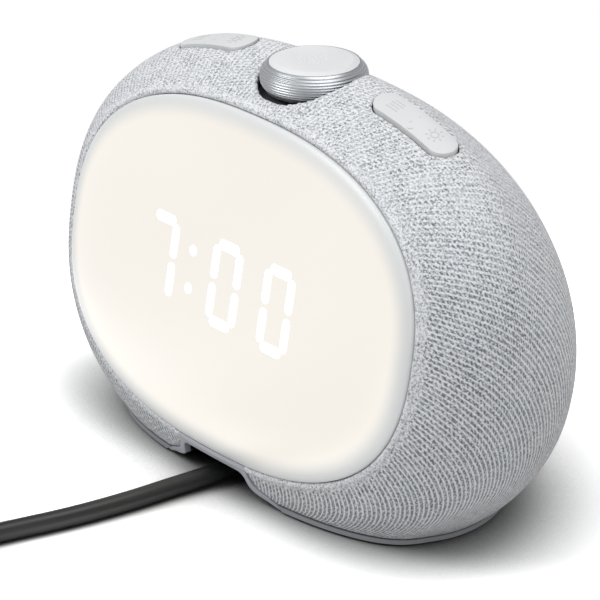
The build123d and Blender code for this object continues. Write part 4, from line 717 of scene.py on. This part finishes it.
def digit_layout():
    """Middle, length and direction of every bar, and the colon's dots, in the face plane."""
    pitch = DIGIT_WIDTH_MM + DIGIT_GAP_MM
    half_x, half_y = (DIGIT_WIDTH_MM - DIGIT_STROKE_MM) / 2, (DIGIT_HEIGHT_MM - DIGIT_STROKE_MM) / 2
    bars = []
    for place, shown in SHOWN:
        for bar in shown:
            x, y, upright = BARS[bar]
            length = half_y - BAR_ENDS_MM if upright else 2 * half_x - BAR_ENDS_MM
            bars.append((place * pitch + x * half_x, y * half_y, length, upright))
    return bars, [(COLON_AT * pitch, side * half_y / 2) for side in (-1, 1)]


def stadium(bm, x, y, length, width, upright):
    """Raised bar with round ends and a softened edge on the crown of the diffuser."""
    profile = [(0.0, -DIGIT_SUNK_MM), (0.0, DIGIT_PROUD_MM * DIGIT_WALL), (DIGIT_SOFT_MM, DIGIT_PROUD_MM)]
    rings = []
    for inset, height in profile:
        radius, run = width / 2 - inset, (length - width) / 2
        ring = []
        for step in range(DIGIT_POINTS):
            angle = 2 * math.pi * (step + 0.5) / DIGIT_POINTS
            along = radius * math.cos(angle) + math.copysign(run, math.cos(angle))
            aside = radius * math.sin(angle)
            px, py = (x - aside, y + along) if upright else (x + along, y + aside)
            ring.append(bm.verts.new(on_face(px, py, LENS_RISE_MM + height)))
        rings.append(ring)
    for low, high in zip(rings, rings[1:]):
        bridge(bm, low, high)
    bm.faces.new(rings[-1])
    bm.faces.new(list(reversed(rings[0])))


# -------------------------------- dial
DIAL_RADIUS_MM, CAP_RADIUS_MM = 16.2, 13.5
DIAL_STEPS, DIAL_ROWS = 144, 96
RIDGED_FROM, RIDGED_TO = 0.07, 0.93  # share of the height that the ridges cover
DRAWN_IN_MM, DRAWN_POWER = 2.35, 2.6  # how far and how late the ring draws in towards its ends
BELLY_SKEW, BELLY_AT = 0.92, 0.98  # place of its widest part, a little under its middle
ROW_MARGIN_MM, FOOT_INSET_MM, LEDGE_MM = 0.05, 1.6, 1.0
LIP_MM, LIP_DROP_MM, CAP_GAP_MM = 0.35, 0.15, 0.1
CAP_DEPTH_MM, CAP_FLAT_MM = 1.7, 5.2
# The cap's edge, as inset and drop: below the ring's top, then below the cap's own raised top.
CAP_RIM_MM = ((0, 0.1), (0.08, 0))
CAP_CROWN_MM = ((1.55, 0.1), (1.75, 0.02), (2.0, 0))
DOT_PITCH_MM, DOT_RADIUS_MM, DOT_HEIGHT_MM, DOT_SUNK_MM = 1.32, 0.36, 0.2, 0.03
DOTS_PER_RING, DOT_STEPS, DOT_ANGLES = 6, 10, (0, 0.5, 1.0)


class CLOCK_OT_dial(bpy.types.Operator):
    """Makes the ridged dial ring and its dotted cap"""
    bl_idname = "clock.dial"
    bl_label = "Dial"

    def execute(self, context):
        settings = context.scene.clock_dial
        foot = DIAL_BOX[0][2] / MM
        top = DIAL_BOX[1][2] / MM
        height = top - foot
        centre = (0, CONTROL_Y)
        # Die-cast zinc with a satin silver lacquer: grey metal with soft, wide highlights.
        silver = grained("satin_lacquered_zinc", "#AEB1B4", 0.33, 0.5, 0.01, Metallic=0.75)
        # The cap is the same lacquer over a bead-blasted face, so it is paler and duller.
        blasted = grained("blasted_lacquered_zinc", "#D2D4D6", 0.62, 0.25, 0.02, Metallic=0.15)

        bm = bmesh.new()
        profile = [(CAP_RADIUS_MM - LEDGE_MM, foot), (DIAL_RADIUS_MM - FOOT_INSET_MM, foot)]
        for row in range(DIAL_ROWS + 1):
            share = row / DIAL_ROWS
            swell = DIAL_RADIUS_MM - DRAWN_IN_MM * abs(2 * share ** BELLY_SKEW - BELLY_AT) ** DRAWN_POWER
            z = foot + ROW_MARGIN_MM + (height - 2 * ROW_MARGIN_MM) * share
            ridged = RIDGED_FROM < share < RIDGED_TO
            turns = settings.ridges * (share - RIDGED_FROM) / (RIDGED_TO - RIDGED_FROM)
            wave = 0.5 - 0.5 * math.cos(2 * math.pi * turns) if ridged else 0
            profile.append((swell - settings.ridge_depth * wave, z))
        bore = CAP_RADIUS_MM + CAP_GAP_MM
        profile += [(CAP_RADIUS_MM + LIP_MM, top), (bore, top - LIP_DROP_MM), (bore, top - CAP_DEPTH_MM),
                    (CAP_RADIUS_MM - LEDGE_MM, top - CAP_DEPTH_MM)]
        turned(bm, profile, centre, DIAL_STEPS, closed=True)
        finished_piece("dial_grip", bm, "dial", silver, ("dial_ring",), sharp=40)

        bm = bmesh.new()
        cap_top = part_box("dial_cap")[1][2] / MM
        profile = [(0, top - CAP_DEPTH_MM), (CAP_RADIUS_MM, top - CAP_DEPTH_MM)]
        profile += [(CAP_RADIUS_MM - inset, top - drop) for inset, drop in CAP_RIM_MM]
        profile += [(CAP_RADIUS_MM - inset, cap_top - drop) for inset, drop in CAP_CROWN_MM]
        profile += [(CAP_FLAT_MM, cap_top), (0, cap_top)]
        turned(bm, profile, centre, DIAL_STEPS)
        finished_piece("dial_top_cap", bm, "dial", blasted, ("dial_cap",), sharp=25)

        bm = bmesh.new()
        dot_foot = cap_top - DOT_SUNK_MM
        dome = [(DOT_RADIUS_MM * math.cos(a), dot_foot + DOT_HEIGHT_MM * math.sin(a)) for a in DOT_ANGLES]
        dome.append((0, dot_foot + DOT_HEIGHT_MM))
        for ring in range(settings.dot_rings):
            count = max(DOTS_PER_RING * ring, 1)
            for step in range(count):
                angle = 2 * math.pi * step / count
                x = DOT_PITCH_MM * ring * math.cos(angle)
                y = DOT_PITCH_MM * ring * math.sin(angle)
                turned(bm, dome, (x * MM, CONTROL_Y + y * MM), DOT_STEPS)
        finished_piece("dial_dots", bm, "dial", blasted, sharp=60)
        dress(silver, "encoder_shaft", "encoder_nut")
        return {"FINISHED"}


# -------------------------------- pads
PAD_X_MM = 45.8  # middle of each pad from the clock's middle
ABOVE_PADS_M = 0.2
SIGN_PROUD_MM, SIGN_SUNK_MM = 0.07, 0.1
SIGN_ASIDE_MM = 8.5  # each sign from the middle of its pad
BAR_COUNT, BAR_PITCH_MM, BAR_MM, BAR_SHORTER_MM, BAR_THICK_MM = 4, 1.15, 5.0, 0.9, 0.32
DIVIDER_MM = (0.3, 4.2)
SUN_MM, SUN_STEPS = (0.95, 1.4), 20  # radii of the sun's ring
RAY_MM, RAY_HALF_MM, RAY_COUNT = (1.95, 2.75), 0.24, 8


def pad_surface(name):
    """Ray caster onto the top of a packed pad."""
    mesh = NODES[name].data
    return BVHTree.FromPolygons([v.co for v in mesh.vertices], [p.vertices for p in mesh.polygons])


def drape(bm, tree, outline):
    """Thin raised sign that follows the pad below it, from its outline in mm about the pad's middle."""
    rings = []
    for height in (-SIGN_SUNK_MM, SIGN_PROUD_MM):
        ring = []
        for x, y in outline:
            hit = tree.ray_cast(Vector((x * MM, y * MM, ABOVE_PADS_M)), Vector((0, 0, -1)))[0]
            ring.append(bm.verts.new(hit + Vector((0, 0, height * MM))))
        rings.append(ring)
    bridge(bm, *rings)
    bm.faces.new(rings[1])


def rectangle(x, y, width, height):
    """Outline of a small bar, in mm."""
    return [(x - width / 2, y - height / 2), (x + width / 2, y - height / 2),
            (x + width / 2, y + height / 2), (x - width / 2, y + height / 2)]


class CLOCK_OT_pads(bpy.types.Operator):
    """Finishes the two rocking pads, their frames and their signs"""
    bl_idname = "clock.pads"
    bl_label = "Button pads"

    def execute(self, context):
        # Satin ABS, moulded against a spark-eroded tool: fine even grain, soft shine.
        satin = grained("satin_abs_pale_grey", "#C9CBCC", 0.5, 0.35, 0.012, mottle=0.015)
        # The signs are raised in the same ABS, a shade darker and duller.
        sign = grained("raised_abs", "#B9BCBF", 0.6, 0.35, 0.012)
        dress(satin, "left_pad", "right_pad")
        soften(0.45, "left_pad", "right_pad")
        # The frames under them are moulded ABS, dark grey as painted shade, so the slit round each pad reads
        # as a line.
        dress(grained("abs_frame_painted_slit_shade", "#4A4D50", 0.55, 0.4, 0.02), "left_pad_frame", "right_pad_frame")
        middle_y = CONTROL_Y / MM
        for side, name in ((-1, "left"), (1, "right")):
            tree = pad_surface(f"{name}_pad")
            x = side * PAD_X_MM
            sun_x = x + SIGN_ASIDE_MM
            bm = bmesh.new()
            for row in range(BAR_COUNT):
                drape(bm, tree, rectangle(x - SIGN_ASIDE_MM,
                                          middle_y + BAR_PITCH_MM * (row - (BAR_COUNT - 1) / 2),
                                          BAR_MM - BAR_SHORTER_MM * (row % 2), BAR_THICK_MM))
            drape(bm, tree, rectangle(x, middle_y, *DIVIDER_MM))
            inner, outer = SUN_MM
            for step in range(SUN_STEPS):
                first, last = 2 * math.pi * step / SUN_STEPS, 2 * math.pi * (step + 1) / SUN_STEPS
                drape(bm, tree, [(sun_x + r * math.cos(a), middle_y + r * math.sin(a))
                                 for r, a in ((inner, first), (outer, first), (outer, last), (inner, last))])
            near, far = RAY_MM
            for step in range(RAY_COUNT):
                angle = 2 * math.pi * step / RAY_COUNT
                c, s = math.cos(angle), math.sin(angle)
                drape(bm, tree, [(sun_x + r * c - t * s, middle_y + r * s + t * c)
                                 for r, t in ((near, -RAY_HALF_MM), (far, -RAY_HALF_MM),
                                              (far, RAY_HALF_MM), (near, RAY_HALF_MM))])
            finished_piece(f"{name}_pad_signs", bm, f"{name}_rocker", sign, sharp=40)
        return {"FINISHED"}


# -------------------------------- everything else
# The black on the base is painted shade in the cable channel.
CHANNEL_HALF_MM, RIM_OUT_MM = 17.5, 19.5  # from the middle: end of the black, start of the grey
# The finishes of what is inside, below and behind: name, colour, roughness, size and depth of the grain in mm,
# metal share, and the nodes that have it.
FINISHES = (
    # Glass-filled ABS, moulded: dark and dull, with a dry grain.
    ("glass_filled_abs", "#3B3E40", 0.65, 0.6, 0.03, 0.0,
     ("front_shell", "rear_shell", "dial_well", "speaker_box", "cell_holder")),
    # White polycarbonate, moulded: bright and even, to spread the light.
    ("white_polycarbonate", "#E6E6E2", 0.45, 0.6, 0.01, 0.0, ("light_tray", "display_block")),
    # Closed-cell foam, cut: nearly black, with no shine.
    ("closed_cell_foam", "#2A2B2C", 0.95, 0.5, 0.12, 0.0, ("light_seal", "speaker_gasket")),
    # Silicone, moulded: dark grey and dull, so it looks soft.
    ("silicone_foot", "#4A4B4D", 0.8, 0.4, 0.03, 0.0, ("rubber_feet", "speaker_surround")),
    # Solder mask, printed and cured: a glossy, slightly uneven coat, white on the LED board, green elsewhere.
    ("white_solder_mask", "#E9E9E6", 0.35, 2.5, 0.01, 0.0, ("led_board",)),
    ("green_solder_mask", "#1F4D33", 0.32, 2.5, 0.02, 0.0,
     ("main_board", "control_board", "power_board", "port_board")),
    # Silicone with phosphor, cast: the yellow of an unlit white LED.
    ("phosphor_silicone", "#E8C34A", 0.4, 0.4, 0.01, 0.0, ("leds",)),
    # Epoxy, moulded: near black, matt and even.
    ("moulded_epoxy", "#1C1D1F", 0.6, 0.2, 0.01, 0.0,
     ("board_components", "encoder_body", "push_switches", "speaker_magnet")),
    # Paper pulp, pressed: near black, fibrous and without shine.
    ("pressed_paper", "#2B2B2A", 0.9, 0.5, 0.08, 0.0, ("speaker_cone",)),
    # Steel, zinc plated: pale grey and bright, with fine blurred highlights.
    ("zinc_plated_steel", "#B9BCC0", 0.3, 0.6, 0.006, 1.0,
     ("board_screws", "control_screws", "power_screws", "base_screws", "speaker_basket",
      "pad_pins", "ballast_plate", "backup_cell")),
    # Steel, nickel plated: a little darker and sharper.
    ("nickel_plated_steel", "#A9ABAE", 0.28, 0.5, 0.004, 1.0, ("usb_a_socket", "usb_c_socket")),
    # Aluminium can, anodised dark: a half metallic, smooth sheen.
    ("anodised_can", "#33373D", 0.3, 0.6, 0.004, 0.6, ("capacitors",)),
    # Polyester tape, wound: amber and smooth.
    ("polyester_tape", "#D9A21E", 0.4, 1.0, 0.01, 0.0, ("transformer",)),
)


def base_abs_with_channel_shade():
    """ABS base, moulded, with a fine grain: grey, but black as painted shade from front to back, as wide as
    the cable channel.
    """
    material = grained("moulded_base_abs_channel_shade", "#85878C", 0.5, 0.5, 0.02)
    tree = material.node_tree
    shader = tree.nodes["Principled BSDF"]
    grey = shader.inputs["Base Color"].links[0].from_socket
    place = add_node(tree, "ShaderNodeTexCoord").outputs["Object"]
    aside = add_node(tree, "ShaderNodeSeparateXYZ", None, {0: place}).outputs["X"]
    out = add_node(tree, "ShaderNodeMath", {"operation": "ABSOLUTE"}, {0: aside}).outputs[0]
    edge = add_node(tree, "ShaderNodeMapRange", None,
                    {"Value": out, "From Min": CHANNEL_HALF_MM * MM, "From Max": RIM_OUT_MM * MM}).outputs[0]
    # Painted shade: near black within the channel, the grey outside it.
    grey_and_channel_shade = add_node(tree, "ShaderNodeMix", {"data_type": "RGBA"}, {0: edge, 6: linear("#17181A"), 7: grey})
    tree.links.new(grey_and_channel_shade.outputs[2], shader.inputs["Base Color"])
    return material


class CLOCK_OT_housing(bpy.types.Operator):
    """Finishes the shells, trims, base, rear ports and everything inside"""
    bl_idname = "clock.housing"
    bl_label = "Housing and insides"

    def execute(self, context):
        # ABS trim, moulded: mid grey with a light satin and a fine grain.
        dress(grained("moulded_trim_abs", "#A6A8AF", 0.42, 0.4, 0.015), "arch_trim")
        soften(0.35, "arch_trim")
        dress(base_abs_with_channel_shade(), "base_plate")
        # ABS panel, moulded: a duller mid grey, so the ports stand out from it.
        dress(grained("moulded_panel_abs", "#8E9194", 0.6, 0.5, 0.03), "port_panel")
        soften(0.3, "port_panel")
        for name, colour, roughness, grain_mm, depth_mm, metal, nodes in FINISHES:
            dress(grained(name, colour, roughness, grain_mm, depth_mm, Metallic=metal), *nodes)
        soften(0.2, "rubber_feet")
        return {"FINISHED"}


# -------------------------------- panel and main
class CLOCK_PT_panel(bpy.types.Panel):
    """Lists the clock's pieces in the sidebar"""
    bl_idname = "CLOCK_PT_panel"
    bl_label = "Sunrise Alarm Clock"
    bl_space_type = "VIEW_3D"
    bl_region_type = "UI"
    bl_category = "Clock"

    def draw(self, context):
        scene = context.scene
        for operator in OPERATORS:
            self.layout.operator(operator.bl_idname)
        for group in (scene.clock_fabric, scene.clock_face, scene.clock_dial, scene.clock_cord):
            box = self.layout.box()
            for key in group.bl_rna.properties.keys():
                if key not in {"rna_type", "name"}:
                    box.prop(group, key)


OPERATORS = (CLOCK_OT_stage, CLOCK_OT_mains_lead, CLOCK_OT_fabric, CLOCK_OT_face, CLOCK_OT_dial,
             CLOCK_OT_pads, CLOCK_OT_housing)
SETTINGS = {"clock_fabric": ClockFabricSettings, "clock_face": ClockFaceSettings,
            "clock_dial": ClockDialSettings, "clock_cord": ClockCordSettings}
CLASSES = (*SETTINGS.values(), *OPERATORS, CLOCK_PT_panel)


def register():
    for cls in CLASSES:
        bpy.utils.register_class(cls)
    for name, group in SETTINGS.items():
        setattr(bpy.types.Scene, name, PointerProperty(type=group))


def unregister():
    for name in SETTINGS:
        delattr(bpy.types.Scene, name)
    for cls in reversed(CLASSES):
        bpy.utils.unregister_class(cls)


def main():
    register()
    for operator in OPERATORS:
        group, name = operator.bl_idname.split(".")
        getattr(getattr(bpy.ops, group), name)()


if __name__ == "__main__":
    main()
